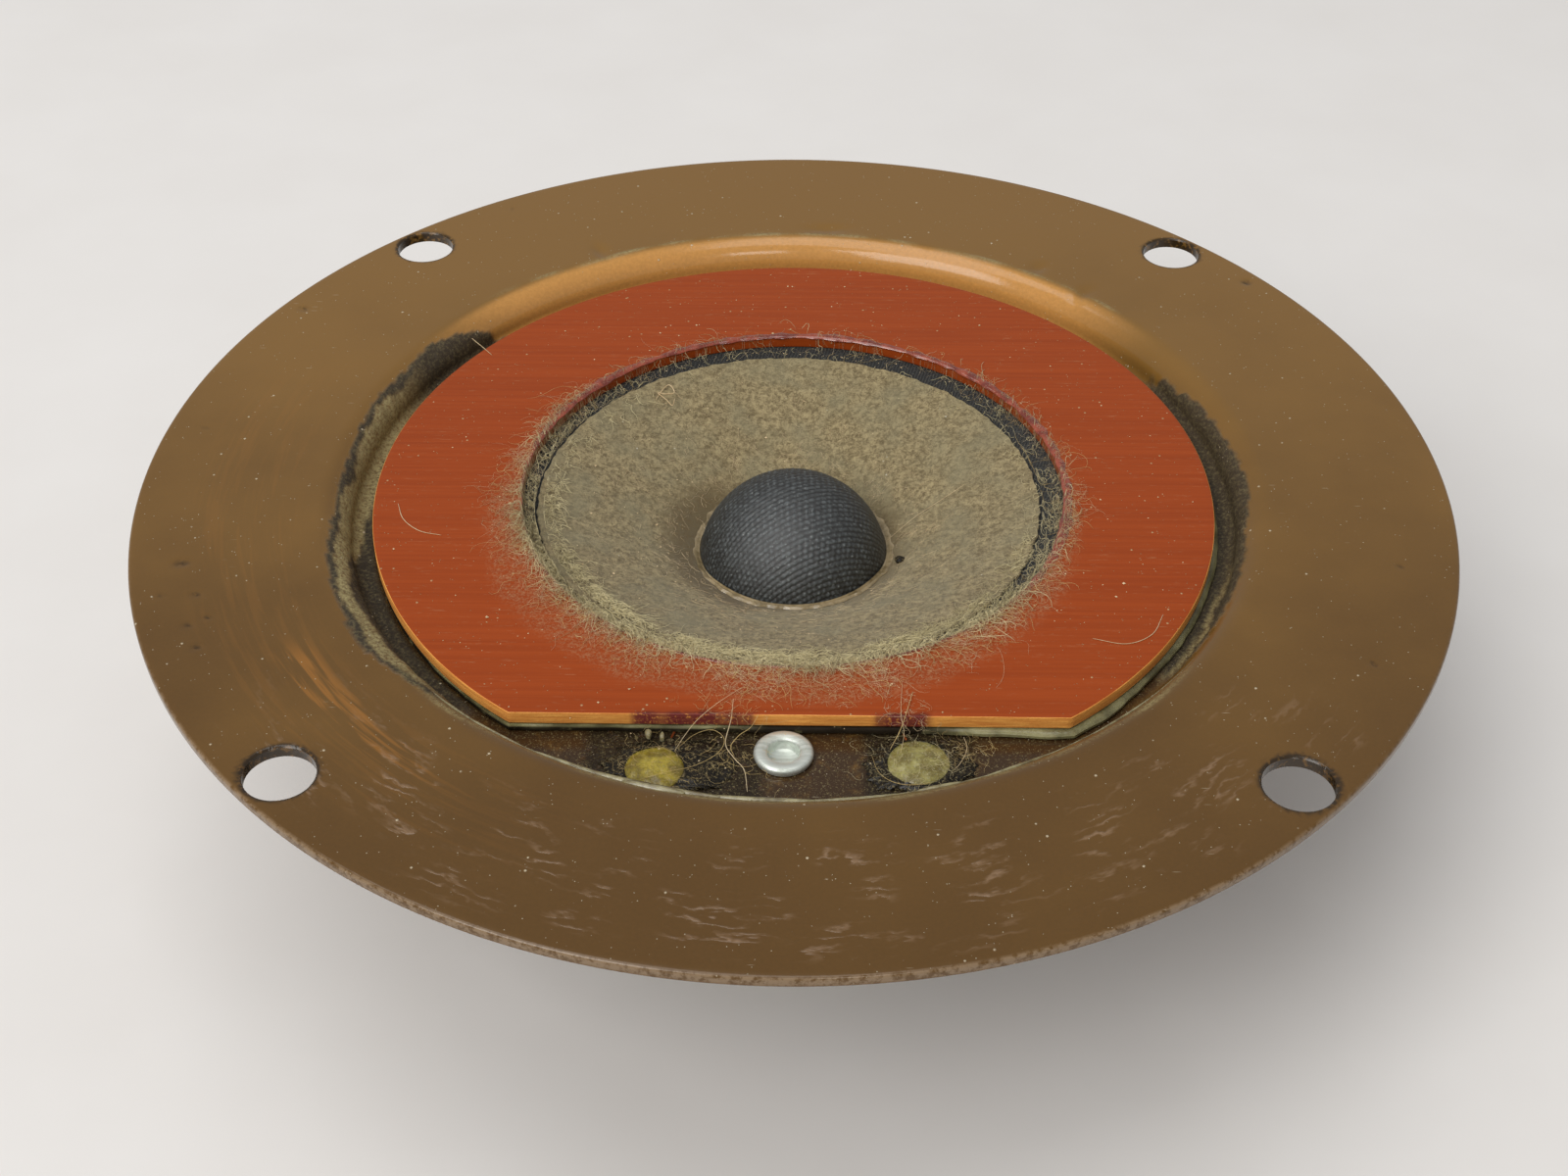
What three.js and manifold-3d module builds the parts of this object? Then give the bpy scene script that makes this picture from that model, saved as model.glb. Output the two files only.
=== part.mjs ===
// A small cone tweeter on a round pressed steel mounting plate, built as separate pieces.
// Units are millimetres, +Z is up and out of the front of the loudspeaker. The origin is the
// middle of the motor's back face, so the part stands on z = 0. The terminals are on the -Y side.

import * as THREE from 'three';
import { mergeVertices } from 'three/addons/utils/BufferGeometryUtils.js';
import Module from 'manifold-3d';

const wasm = await Module();
wasm.setup();

// ---- driving dimensions ----------------------------------------------------------------------

const INCH = 25.4;
const PLATE_R = 4.5 * INCH / 2; // mounting plate
const PLATE_TOP = 34; // front face of the mounting plate above the back of the motor
const SHEET = 1; // thickness of the pressed plate
const HOLE_R = 7 / 32 * INCH / 2; // mounting holes
const HOLE_SQUARE = 76; // side of the square that the four mounting holes stand on
const SHOULDER_R = 41.5; // where the flat flange starts to roll down
const SHOULDER_FILLET = 2.6;
const FLOOR_FILLET = 0.8;
const FLOOR_DEPTH = SHOULDER_FILLET + FLOOR_FILLET; // recessed floor below the flange
const FLOOR_BORE_R = 25.2;

const RING_R = 36.9; // phenolic clamping ring
const RING_BORE_R = 24;
const RING_DEPTH = 1.43; // its front face below the flange
const RING_T = 1.17;
const RING_FLAT_Y = -29.65; // straight edge cut off the ring beside the terminals

const CONE_R = 22.2;
const CONE_DEPTH = 2.7; // rim of the cone below the flange
const CONE_T = 0.35;
const CAP_R = 8.46;
const CAP_DEPTH = 8.57; // foot of the dust cap below the flange
const CAP_HEIGHT = 6.9;
const COIL_R = 9 / 16 * INCH / 2; // outside of the coil former

const POLE_R = 6.6;
const GAP_R = 8; // bore of the front pole plate
const BACK_PLATE_T = 4.8;
const MAGNET_R = 28.5;
const MAGNET_T = 10;
const POLE_PLATE_R = 27;
const POLE_PLATE_T = 4;
const CUP_R = 26.4; // outside of the rear cup
const CUP_T = 0.8;

const GLUE = 0.1; // glue line between pieces that touch

const LARGE = 48; // sides of round pieces, by size
const MEDIUM = 32;
const SMALL = 12;

// heights that follow from the stack
const FLOOR_TOP = PLATE_TOP - FLOOR_DEPTH;
const FLOOR_BOTTOM = FLOOR_TOP - SHEET;
const RING_TOP = PLATE_TOP - RING_DEPTH;
const RING_BOTTOM = RING_TOP - RING_T;
const MAGNET_BOTTOM = BACK_PLATE_T + GLUE;
const POLE_PLATE_BOTTOM = MAGNET_BOTTOM + MAGNET_T + GLUE;
const POLE_PLATE_TOP = POLE_PLATE_BOTTOM + POLE_PLATE_T;
const CUP_BOTTOM = POLE_PLATE_TOP + GLUE;
const CUP_FLOOR = CUP_BOTTOM + CUP_T;
const CUP_TOP = FLOOR_BOTTOM - GLUE;

// ---- finishes --------------------------------------------------------------------------------

/** A plain standard material. */
function finish(color, roughness, metalness = 0) {
  return new THREE.MeshStandardMaterial({ color, roughness, metalness });
}

const brownPaint = finish(0x6e5334, 0.35, 0.1);
const phenolic = finish(0x944a27, 0.45);
const board = finish(0x7a4a28, 0.6);
const cement = finish(0x8d8a78, 0.6);
const blackCloth = finish(0x26241f, 0.9);
const domeCloth = finish(0x383b38, 0.8);
const paper = finish(0x81755a, 0.95);
const clearGlue = finish(0xa08a5a, 0.2);
const amberGlue = finish(0x8a7a34, 0.2);
const tar = finish(0x14110d, 0.15);
const bareAluminium = finish(0xc2cbbc, 0.35, 0.9);
const platedSteel = finish(0x9a9a94, 0.4, 0.8);
const tinnedBrass = finish(0xb0a890, 0.4, 0.8);
const ferrite = finish(0x2e2e30, 0.8);
const felt = finish(0x8c8a84, 1);
const copper = finish(0x9c5a30, 0.4, 0.7);
const spiderCloth = finish(0xa8843c, 0.85);

// ---- geometry helpers ------------------------------------------------------------------------

/** Points of an arc in a profile, with angles in degrees. */
function arc(centreR, centreZ, radius, from, to, steps) {
  const points = [];
  for (let i = 0; i <= steps; i++) {
    const angle = THREE.MathUtils.degToRad(from + (to - from) * i / steps);
    points.push([centreR + radius * Math.cos(angle), centreZ + radius * Math.sin(angle)]);
  }
  return points;
}

/** Merges shared points, drops collapsed triangles and turns the faces outwards. */
function closed(geometry) {
  geometry.deleteAttribute('normal');
  geometry.deleteAttribute('uv');
  const merged = mergeVertices(geometry, 1e-5);
  const place = merged.attributes.position;
  const old = merged.index.array;
  const corners = [new THREE.Vector3(), new THREE.Vector3(), new THREE.Vector3()];
  const kept = [];
  let volume = 0;
  for (let i = 0; i < old.length; i += 3) {
    const [a, b, c] = [old[i], old[i + 1], old[i + 2]];
    if (a === b || b === c || c === a) continue;
    corners.forEach((corner, k) => corner.fromBufferAttribute(place, old[i + k]));
    volume += corners[0].dot(corners[1].clone().cross(corners[2]));
    kept.push(a, b, c);
  }
  if (volume < 0) kept.reverse();
  merged.setIndex(kept);
  return merged;
}

/** A piece turned about the Z axis from a closed [radius, z] outline. */
function turned(outline, sides = LARGE) {
  const points = [...outline, outline[0]].map(([r, z]) => new THREE.Vector2(r, z));
  const geometry = new THREE.LatheGeometry(points, sides);
  geometry.rotateX(Math.PI / 2);
  return closed(geometry);
}

/** A piece turned from an outline that starts and ends on the axis. */
function turnedSolid(outline, sides) {
  const points = outline.map(([r, z]) => new THREE.Vector2(r, z));
  const geometry = new THREE.LatheGeometry(points, sides);
  geometry.rotateX(Math.PI / 2);
  return closed(geometry);
}

/** A ring of rectangular section. */
function washer(innerR, outerR, bottom, top, sides = LARGE) {
  return turned([[innerR, bottom], [outerR, bottom], [outerR, top], [innerR, top]], sides);
}

/** A solid disc or pin. */
function disc(radius, bottom, top, sides = SMALL) {
  return turnedSolid([[0, bottom], [radius, bottom], [radius, top], [0, top]], sides);
}

/** A flat shape given height. */
function slab(shape, bottom, top, steps = 6) {
  const options = { depth: top - bottom, bevelEnabled: false, curveSegments: steps };
  const geometry = new THREE.ExtrudeGeometry(shape, options);
  geometry.translate(0, 0, bottom);
  return closed(geometry);
}

/** A plain rectangle. */
function rectangle(x0, y0, x1, y1) {
  return new THREE.Shape([[x0, y0], [x1, y0], [x1, y1], [x0, y1]].map(([x, y]) => new THREE.Vector2(x, y)));
}

/** A rectangle with its corners cut off. */
function cutCornerRectangle(x0, y0, x1, y1, cut) {
  const shape = new THREE.Shape();
  shape.moveTo(x0 + cut, y0);
  shape.lineTo(x1 - cut, y0);
  shape.lineTo(x1, y0 + cut);
  shape.lineTo(x1, y1 - cut);
  shape.lineTo(x1 - cut, y1);
  shape.lineTo(x0 + cut, y1);
  shape.lineTo(x0, y1 - cut);
  shape.lineTo(x0, y0 + cut);
  shape.closePath();
  return shape;
}

/** A closed geometry as a manifold solid. */
function solid(geometry) {
  const mesh = new wasm.Mesh({
    numProp: 3,
    vertProperties: new Float32Array(geometry.attributes.position.array),
    triVerts: new Uint32Array(geometry.index.array),
  });
  return new wasm.Manifold(mesh);
}

/** A manifold solid as a geometry. */
function geometryOf(body) {
  const mesh = body.getMesh();
  const geometry = new THREE.BufferGeometry();
  geometry.setAttribute('position', new THREE.BufferAttribute(mesh.vertProperties, 3));
  geometry.setIndex(new THREE.BufferAttribute(mesh.triVerts, 1));
  return geometry;
}

/** A geometry with other geometries cut out of it. */
function cut(geometry, tools) {
  let body = solid(geometry);
  for (const tool of tools) body = body.subtract(solid(tool));
  return geometryOf(body);
}

/** A geometry moved sideways. */
function moved(geometry, x, y) {
  return geometry.clone().translate(x, y, 0);
}

/** A round bar along a smooth curve through the points. */
function bar(points, radius, steps, sides = 8) {
  const section = new THREE.Shape();
  for (let i = 0; i < sides; i++) {
    const angle = 2 * Math.PI * i / sides;
    const at = [radius * Math.cos(angle), radius * Math.sin(angle)];
    if (i === 0) section.moveTo(...at);
    else section.lineTo(...at);
  }
  section.closePath();
  const path = new THREE.CatmullRomCurve3(points.map((p) => new THREE.Vector3(...p)));
  return closed(new THREE.ExtrudeGeometry(section, { steps, extrudePath: path }));
}

const part = new THREE.Group();

/** Adds one named piece to the part. */
function add(name, geometry, material, x = 0, y = 0) {
  const mesh = new THREE.Mesh(geometry, material);
  mesh.name = name;
  mesh.position.set(x, y, 0);
  part.add(mesh);
}

// ---- terminal places -------------------------------------------------------------------------

const STRIP_RIVET = { x: -0.4, y: -32.3 };
const TERMINALS = [
  { side: 'left', x: -10.3, y: -34.1, plugR: 2.33, sealX: -9, sealY: -33.4, sealW: 5, sealH: 3.1 },
  { side: 'right', x: 10, y: -33.2, plugR: 2.45, sealX: 9.9, sealY: -33.3, sealW: 4.1, sealH: 3.05 },
];
const TERMINAL_HOLE_R = 2.7;
const STRIP_RIVET_HOLE_R = 1.9;

// ---- mounting plate --------------------------------------------------------------------------

/** The plate: flat flange, rolled shoulder and recessed floor, with all its holes. */
function mountingPlate() {
  const edge = 0.3;
  const top = PLATE_TOP;
  const rollZ = top - SHOULDER_FILLET;
  const floorR = SHOULDER_R - SHOULDER_FILLET - FLOOR_FILLET;
  const outline = [
    ...arc(PLATE_R - edge, top - edge, edge, 0, 90, 1),
    ...arc(SHOULDER_R, rollZ, SHOULDER_FILLET, 90, 180, 4),
    ...arc(floorR, rollZ, FLOOR_FILLET, 0, -90, 2).slice(1),
    [FLOOR_BORE_R, FLOOR_TOP],
    [FLOOR_BORE_R, FLOOR_BOTTOM],
    ...arc(floorR, rollZ, FLOOR_FILLET + SHEET, -90, 0, 2),
    ...arc(SHOULDER_R, rollZ, SHOULDER_FILLET - SHEET, 180, 90, 2).slice(1),
    ...arc(PLATE_R - edge, top - SHEET + edge, edge, -90, 0, 1),
  ];
  const tools = [];
  for (const x of [-HOLE_SQUARE / 2, HOLE_SQUARE / 2]) {
    for (const y of [-HOLE_SQUARE / 2, HOLE_SQUARE / 2]) {
      tools.push(moved(disc(HOLE_R, top - 2, top + 1, 16), x, y));
    }
  }
  tools.push(moved(disc(STRIP_RIVET_HOLE_R, FLOOR_BOTTOM - 1, FLOOR_TOP + 1), STRIP_RIVET.x, STRIP_RIVET.y));
  for (const { x, y } of TERMINALS) {
    tools.push(moved(disc(TERMINAL_HOLE_R, FLOOR_BOTTOM - 1, FLOOR_TOP + 1), x, y));
  }
  return cut(turned(outline), tools);
}

add('mounting_plate', mountingPlate(), brownPaint);

// ---- rear cup --------------------------------------------------------------------------------

const CUP_RIM_R = 28.6;
const CUP_BORE_R = 10.5;
const FRAME_RIVET_CIRCLE_R = 16.5;
const FRAME_RIVET_R = 1.4;
const RIVET_CLEARANCE = 0.3;

/** Turned tools for the four frame rivet holes. */
function frameRivetHoles(bottom, top) {
  return [45, 135, 225, 315].map((degrees) => {
    const angle = THREE.MathUtils.degToRad(degrees);
    const tool = disc(FRAME_RIVET_R + RIVET_CLEARANCE, bottom, top, 12);
    return moved(tool, FRAME_RIVET_CIRCLE_R * Math.cos(angle), FRAME_RIVET_CIRCLE_R * Math.sin(angle));
  });
}

/** The drawn cup behind the floor, which closes in the back of the cone. */
function rearCup() {
  const inner = CUP_R - CUP_T;
  const bend = 1.4;
  const rimBend = 0.6;
  const outline = [
    [CUP_RIM_R, CUP_TOP],
    [inner, CUP_TOP],
    ...arc(inner - bend + CUP_T, CUP_FLOOR + bend - CUP_T, bend - CUP_T, 0, -90, 2),
    [CUP_BORE_R, CUP_FLOOR],
    [CUP_BORE_R, CUP_BOTTOM],
    ...arc(CUP_R - bend, CUP_BOTTOM + bend, bend, -90, 0, 2),
    ...arc(CUP_R + rimBend, CUP_TOP - CUP_T - rimBend, rimBend, 180, 90, 2),
    [CUP_RIM_R, CUP_TOP - CUP_T],
  ];
  return cut(turned(outline), frameRivetHoles(CUP_BOTTOM - 1, CUP_FLOOR + 1));
}

add('rear_cup', rearCup(), brownPaint);

// ---- clamping ring and what it holds ---------------------------------------------------------

const FAR = 100;

/** A box that covers everything on the terminal side of a line across the part. */
function beyond(y) {
  return slab(rectangle(-FAR, -FAR, FAR, y), 0, PLATE_TOP + 1);
}

add('phenolic_ring', cut(washer(RING_BORE_R, RING_R, RING_BOTTOM, RING_TOP), [beyond(RING_FLAT_Y)]), phenolic);

const FOOT_R = 29.2; // outside of the surround's foot and its gasket
const SURROUND_T = 0.22;
const CEMENT_PROUD = 0.45; // how far the cement squeezes out past the ring
const LEAD_R = 0.1;
const LEAD_Z = FLOOR_TOP + GLUE / 2 + LEAD_R; // the leads lie just above the floor
const GROOVE_W = 0.8;
const GROOVE_TOP = LEAD_Z + LEAD_R + 0.07;

/** The grooves that the two leads lie in, from the middle outwards. */
function leadGrooves() {
  return TERMINALS.map(({ x, y }) => {
    const groove = rectangle(-GROOVE_W / 2, -FAR, GROOVE_W / 2, 0);
    return slab(groove, 0, GROOVE_TOP).rotateZ(Math.atan2(y, x) + Math.PI / 2);
  });
}

/** The bed of cement under the outer part of the ring, squeezed out past its edge. */
function ringCement() {
  const bed = washer(FOOT_R + 0.5, RING_R + CEMENT_PROUD, FLOOR_TOP + GLUE, RING_BOTTOM - GLUE);
  return cut(bed, [beyond(RING_FLAT_Y - GLUE), ...leadGrooves()]);
}

add('ring_cement', ringCement(), cement);

/** The front of the cone at a radius: a flared curve, steeper towards the neck. */
function coneTop(r) {
  const rimSlope = 0.28;
  const rise = CAP_DEPTH - CONE_DEPTH;
  const width = CONE_R - CAP_R;
  const bend = (rise - rimSlope * width) / width ** 2;
  const inward = CONE_R - r;
  return PLATE_TOP - CONE_DEPTH - rimSlope * inward - bend * inward ** 2;
}

const SURROUND_TOP = RING_BOTTOM - GLUE / 2;
const GASKET_TOP = SURROUND_TOP - SURROUND_T - GLUE / 2;

/** The gasket under the surround's foot, grooved for the leads. */
function surroundGasket() {
  return cut(washer(FLOOR_BORE_R + 0.4, FOOT_R, FLOOR_TOP + GLUE, GASKET_TOP, MEDIUM), leadGrooves());
}

add('surround_gasket', surroundGasket(), board);

/** The cloth surround, which falls steadily from its foot to its lip under the cone. */
function surround() {
  const lipOuter = CONE_R + 0.1;
  const lipInner = CONE_R - 1.3;
  const under = CONE_T + GLUE;
  const top = [
    [FOOT_R, SURROUND_TOP],
    [RING_BORE_R - 0.1, SURROUND_TOP],
    [RING_BORE_R - 0.5, SURROUND_TOP - 0.1],
    [RING_BORE_R - 1, SURROUND_TOP - 0.28],
    [lipOuter, coneTop(lipOuter) - under],
    [lipInner, coneTop(lipInner) - under],
  ];
  const bottom = top.map(([r, z]) => [r, z - SURROUND_T]).reverse();
  return turned([...top, ...bottom]);
}

add('surround', surround(), blackCloth);

// ---- moving parts ----------------------------------------------------------------------------

const NECK_R = COIL_R + GLUE;
const CONE_STEPS = 5;

/** The paper cone, from its rim to its neck around the coil former. */
function cone() {
  const top = [];
  for (let i = 0; i <= CONE_STEPS; i++) {
    const r = CONE_R + (NECK_R - CONE_R) * i / CONE_STEPS;
    top.push([r, coneTop(r)]);
  }
  const bottom = top.map(([r, z]) => [r, z - CONE_T]).reverse();
  return turned([...top, ...bottom]);
}

add('cone', cone(), paper);

const CAP_T = 0.35;
const CAP_FOOT = PLATE_TOP - CAP_DEPTH + GLUE;

/** A dome-shaped shell over the coil, standing on the cone. */
function dustCap() {
  const radius = (CAP_R ** 2 + CAP_HEIGHT ** 2) / (2 * CAP_HEIGHT);
  const centreZ = CAP_FOOT + CAP_HEIGHT - radius;
  const innerRadius = radius - CAP_T;
  const footAngle = Math.atan2(CAP_FOOT - centreZ, CAP_R);
  const innerFootAngle = Math.asin((CAP_FOOT - centreZ) / innerRadius);
  const steps = 6;
  return turnedSolid([
    ...arc(0, centreZ, radius, 90, THREE.MathUtils.radToDeg(footAngle), steps),
    ...arc(0, centreZ, innerRadius, THREE.MathUtils.radToDeg(innerFootAngle), 90, steps),
  ].map(([r, z]) => [Math.abs(r) < 1e-6 ? 0 : r, z]), MEDIUM);
}

add('dust_cap', dustCap(), domeCloth);

/** The bead of clear glue round the foot of the dust cap. */
function capGlue() {
  const inner = CAP_R + 0.12;
  const outer = CAP_R + 0.85;
  return turned([
    [inner, coneTop(inner) + GLUE],
    [outer, coneTop(outer) + GLUE],
    [inner, coneTop(inner) + GLUE + 0.65],
  ], MEDIUM);
}

add('dust_cap_glue', capGlue(), clearGlue);

const FORMER_T = 0.2;
const WINDING_T = 0.4;
const WINDING_LENGTH = 4.8;
const WINDING_MIDDLE = POLE_PLATE_BOTTOM + POLE_PLATE_T / 2;
const FORMER_BOTTOM = WINDING_MIDDLE - WINDING_LENGTH / 2 - 0.2;
const FORMER_TOP = CAP_FOOT - 0.6;

add('coil_former', washer(COIL_R - FORMER_T, COIL_R, FORMER_BOTTOM, FORMER_TOP, MEDIUM), spiderCloth);

/** The copper winding round the lower end of the former. */
function winding() {
  const bottom = WINDING_MIDDLE - WINDING_LENGTH / 2;
  return washer(COIL_R + 0.05, COIL_R + 0.05 + WINDING_T, bottom, bottom + WINDING_LENGTH, MEDIUM);
}

add('coil_winding', winding(), copper);

// ---- spider ----------------------------------------------------------------------------------

const SPIDER_Z = 22.8;
const SPIDER_FOOT_R = 23.2;
const SPIDER_FOOT_INNER_R = 20.3;
const SPIDER_T = 0.25;

/** The corrugated cloth spider that centres the coil. */
function spider() {
  const innerR = COIL_R + 0.2;
  const ridges = 6;
  const height = 0.35;
  const startR = 9;
  const pitch = (SPIDER_FOOT_INNER_R - startR) / ridges;
  const top = [[innerR, SPIDER_Z], [startR, SPIDER_Z]];
  for (let i = 0; i < ridges; i++) {
    top.push([startR + (i + 0.5) * pitch, SPIDER_Z + (i % 2 ? -height : height)]);
  }
  top.push([SPIDER_FOOT_INNER_R, SPIDER_Z], [SPIDER_FOOT_R, SPIDER_Z]);
  const bottom = top.map(([r, z]) => [r, z - SPIDER_T]).reverse();
  return turned([...top, ...bottom], MEDIUM);
}

add('spider', spider(), spiderCloth);
add(
  'spider_spacer',
  washer(SPIDER_FOOT_INNER_R, SPIDER_FOOT_R, CUP_FLOOR + GLUE, SPIDER_Z - SPIDER_T - GLUE, MEDIUM),
  board,
);

// ---- damping felts ---------------------------------------------------------------------------

const CUP_FELT_T = 1.6;
add(
  'cup_felt',
  washer(CUP_R - CUP_T - GLUE - CUP_FELT_T, CUP_R - CUP_T - GLUE, SPIDER_Z + 0.4, CUP_TOP - 1, MEDIUM),
  felt,
);
add('pole_felt', disc(POLE_R - 0.8, POLE_PLATE_TOP + GLUE, POLE_PLATE_TOP + 3, MEDIUM), felt);

// ---- motor -----------------------------------------------------------------------------------

const SPIGOT_R = 4;
const CHAMFER = 0.5;

/** A plate with a round bore and chamfered outer edges. */
function chamferedPlate(innerR, outerR, bottom, top) {
  return turned([
    [innerR, bottom],
    [outerR - CHAMFER, bottom],
    [outerR, bottom + CHAMFER],
    [outerR, top - CHAMFER],
    [outerR - CHAMFER, top],
    [innerR, top],
  ]);
}

add('back_plate', chamferedPlate(SPIGOT_R + 0.3, POLE_PLATE_R, 0, BACK_PLATE_T), platedSteel);
add('magnet_ring', chamferedPlate(12, MAGNET_R, MAGNET_BOTTOM, MAGNET_BOTTOM + MAGNET_T), ferrite);
add(
  'front_pole_plate',
  cut(
    chamferedPlate(GAP_R, POLE_PLATE_R, POLE_PLATE_BOTTOM, POLE_PLATE_TOP),
    frameRivetHoles(POLE_PLATE_BOTTOM - 1, POLE_PLATE_TOP + 1),
  ),
  platedSteel,
);
add(
  'pole_piece',
  turnedSolid([
    [0, 0],
    [SPIGOT_R, 0],
    [SPIGOT_R, MAGNET_BOTTOM],
    [POLE_R, MAGNET_BOTTOM],
    [POLE_R, POLE_PLATE_TOP - CHAMFER],
    [POLE_R - CHAMFER, POLE_PLATE_TOP],
    [0, POLE_PLATE_TOP],
  ], MEDIUM),
  platedSteel,
);

/** A rivet with a round head on the cup's floor and its shank through the pole plate. */
function frameRivet() {
  const headR = 2.3;
  const headTop = CUP_FLOOR + GLUE + 0.8;
  return turnedSolid([
    [0, POLE_PLATE_BOTTOM + 0.1],
    [FRAME_RIVET_R, POLE_PLATE_BOTTOM + 0.1],
    [FRAME_RIVET_R, CUP_FLOOR + GLUE],
    [headR, CUP_FLOOR + GLUE],
    [headR * 0.8, headTop - 0.25],
    [0, headTop],
  ], 12);
}

for (let i = 0; i < 4; i++) {
  const angle = THREE.MathUtils.degToRad(45 + 90 * i);
  add(
    `frame_rivet_${i + 1}`,
    frameRivet(),
    bareAluminium,
    FRAME_RIVET_CIRCLE_R * Math.cos(angle),
    FRAME_RIVET_CIRCLE_R * Math.sin(angle),
  );
}

// ---- terminals -------------------------------------------------------------------------------

const STRIP_T = 1.6;
const STRIP_TOP = FLOOR_BOTTOM - GLUE;
const STRIP_BOTTOM = STRIP_TOP - STRIP_T;
const EYELET_R = 1.1;
const EYELET_HOLE_R = EYELET_R + 0.2;
const LUG_T = 0.6;
const LUG_TOP = STRIP_BOTTOM - GLUE;

/** The phenolic strip under the floor that carries the solder lugs. */
function terminalStrip() {
  const outline = cutCornerRectangle(-15, -37.6, 15, -29.3, 1.5);
  const tools = [
    moved(disc(STRIP_RIVET_HOLE_R, STRIP_BOTTOM - 1, STRIP_TOP + 1), STRIP_RIVET.x, STRIP_RIVET.y),
    ...TERMINALS.map(({ x, y }) => moved(disc(EYELET_HOLE_R, STRIP_BOTTOM - 1, STRIP_TOP + 1, 12), x, y)),
  ];
  return cut(slab(outline, STRIP_BOTTOM, STRIP_TOP), tools);
}

add('terminal_strip', terminalStrip(), board);

/** The semi-tubular rivet, clinched at the front, that holds the strip to the floor. */
function stripRivet() {
  const shankR = STRIP_RIVET_HOLE_R - 0.3;
  const flangeR = 3 / 32 * INCH;
  const front = FLOOR_TOP + GLUE;
  const blindR = 1.25;
  return turnedSolid([
    [0, STRIP_BOTTOM - 1.1],
    [2.2, STRIP_BOTTOM - 0.7],
    [2.4, STRIP_BOTTOM - GLUE],
    [shankR, STRIP_BOTTOM - GLUE],
    [shankR, front],
    [flangeR, front],
    [flangeR, front + 0.3],
    [flangeR - 0.5, front + 0.65],
    [blindR + 0.25, front + 0.65],
    [blindR, front + 0.35],
    [blindR * 0.9, front - 0.25],
    [0, front - 0.35],
  ], 16);
}

add('strip_rivet', stripRivet(), bareAluminium, STRIP_RIVET.x, STRIP_RIVET.y);

/** A solder lug: a flat pad under the strip with its tail bent down. */
function solderLug() {
  const padR = 2.2;
  const tailW = 2.2;
  const tailY = -2.9;
  const tailLength = 6;
  const pad = solid(disc(padR, LUG_TOP - LUG_T, LUG_TOP));
  const neck = solid(slab(rectangle(-tailW / 2, tailY, tailW / 2, 0), LUG_TOP - LUG_T, LUG_TOP));
  const tail = solid(slab(
    rectangle(-tailW / 2, tailY, tailW / 2, tailY + LUG_T),
    LUG_TOP - tailLength,
    LUG_TOP,
  ));
  const hole = solid(disc(EYELET_HOLE_R, LUG_TOP - 2, LUG_TOP + 1, 12));
  return geometryOf(pad.add(neck).add(tail).subtract(hole));
}

/** The eyelet that clamps a lug to the strip and takes the lead at the front. */
function eyelet() {
  const flangeR = 1.9;
  const innerR = 0.7;
  const top = STRIP_TOP + GLUE;
  const bottom = LUG_TOP - LUG_T - GLUE;
  return turned([
    [innerR, bottom - 0.35],
    [flangeR, bottom - 0.35],
    [flangeR, bottom],
    [EYELET_R, bottom],
    [EYELET_R, top],
    [flangeR, top],
    [flangeR, top + 0.35],
    [innerR, top + 0.35],
  ], 12);
}

const PLUG_BOTTOM = STRIP_TOP + GLUE + 0.35 + GLUE;
const SEAL_T = 0.45;

/** The domed plug of amber cement in a terminal hole. */
function leadPlug(radius) {
  const shoulder = FLOOR_TOP + 0.35;
  return turnedSolid([
    [0, PLUG_BOTTOM],
    [radius, PLUG_BOTTOM],
    [radius, shoulder],
    [radius * 0.75, shoulder + 0.4],
    [radius * 0.4, shoulder + 0.58],
    [0, shoulder + 0.63],
  ], SMALL);
}

/** The patch of black tar round a terminal, kept on the flat floor. */
function leadSeal({ side, x, y, plugR, sealX, sealY, sealW, sealH }) {
  const outline = new THREE.Shape();
  outline.absellipse(sealX, sealY, sealW, sealH, 0, 2 * Math.PI);
  const bottom = FLOOR_TOP + GLUE;
  const patch = solid(slab(outline, bottom, bottom + SEAL_T, 12));
  const floorR = SHOULDER_R - SHOULDER_FILLET - FLOOR_FILLET - 0.1;
  return geometryOf(patch
    .intersect(solid(disc(floorR, bottom - 1, bottom + 2, LARGE)))
    .subtract(solid(moved(disc(plugR + 0.25, bottom - 1, bottom + 2), x, y)))
    .subtract(solid(leadGrooves()[side === 'left' ? 0 : 1])));
}

/** A lead from the coil, looped behind the cone and out through its groove to the plug. */
function leadWire({ x, y, plugR }) {
  const reach = Math.hypot(x, y);
  const route = [
    [COIL_R + 0.35, SPIDER_Z + 1.1],
    [9.5, SPIDER_Z + 1.05],
    [13, SPIDER_Z + 1.9],
    [17.5, SPIDER_Z + 4],
    [20.8, SPIDER_Z + 5.7],
    [23, FLOOR_TOP - 0.9],
    [24.6, LEAD_Z],
    [25.6, LEAD_Z + 0.02],
    [27.5, LEAD_Z],
    [reach - plugR - 0.2, LEAD_Z],
  ];
  return bar(route.map(([r, z]) => [r * x / reach, r * y / reach, z]), LEAD_R, 20);
}

for (const terminal of TERMINALS) {
  const { side, x, y, plugR } = terminal;
  add(`solder_lug_${side}`, solderLug(), tinnedBrass, x, y);
  add(`eyelet_${side}`, eyelet(), tinnedBrass, x, y);
  add(`lead_plug_${side}`, leadPlug(plugR), amberGlue, x, y);
  add(`lead_seal_${side}`, leadSeal(terminal), tar);
  add(`lead_wire_${side}`, leadWire(terminal), copper);
}

export default part;
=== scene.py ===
"""Finished look of a small cone tweeter on a round steel plate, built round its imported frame.

Every sub-assembly is a class that reads its place from the frame, builds its meshes and dresses
them with its finishes. Lengths inside the classes are millimetres in the frame's own axes, and
``make_mesh`` turns them into metres when it makes an object. +Z is out of the front, and the
terminals are on the -Y side.
"""
from __future__ import annotations

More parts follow.
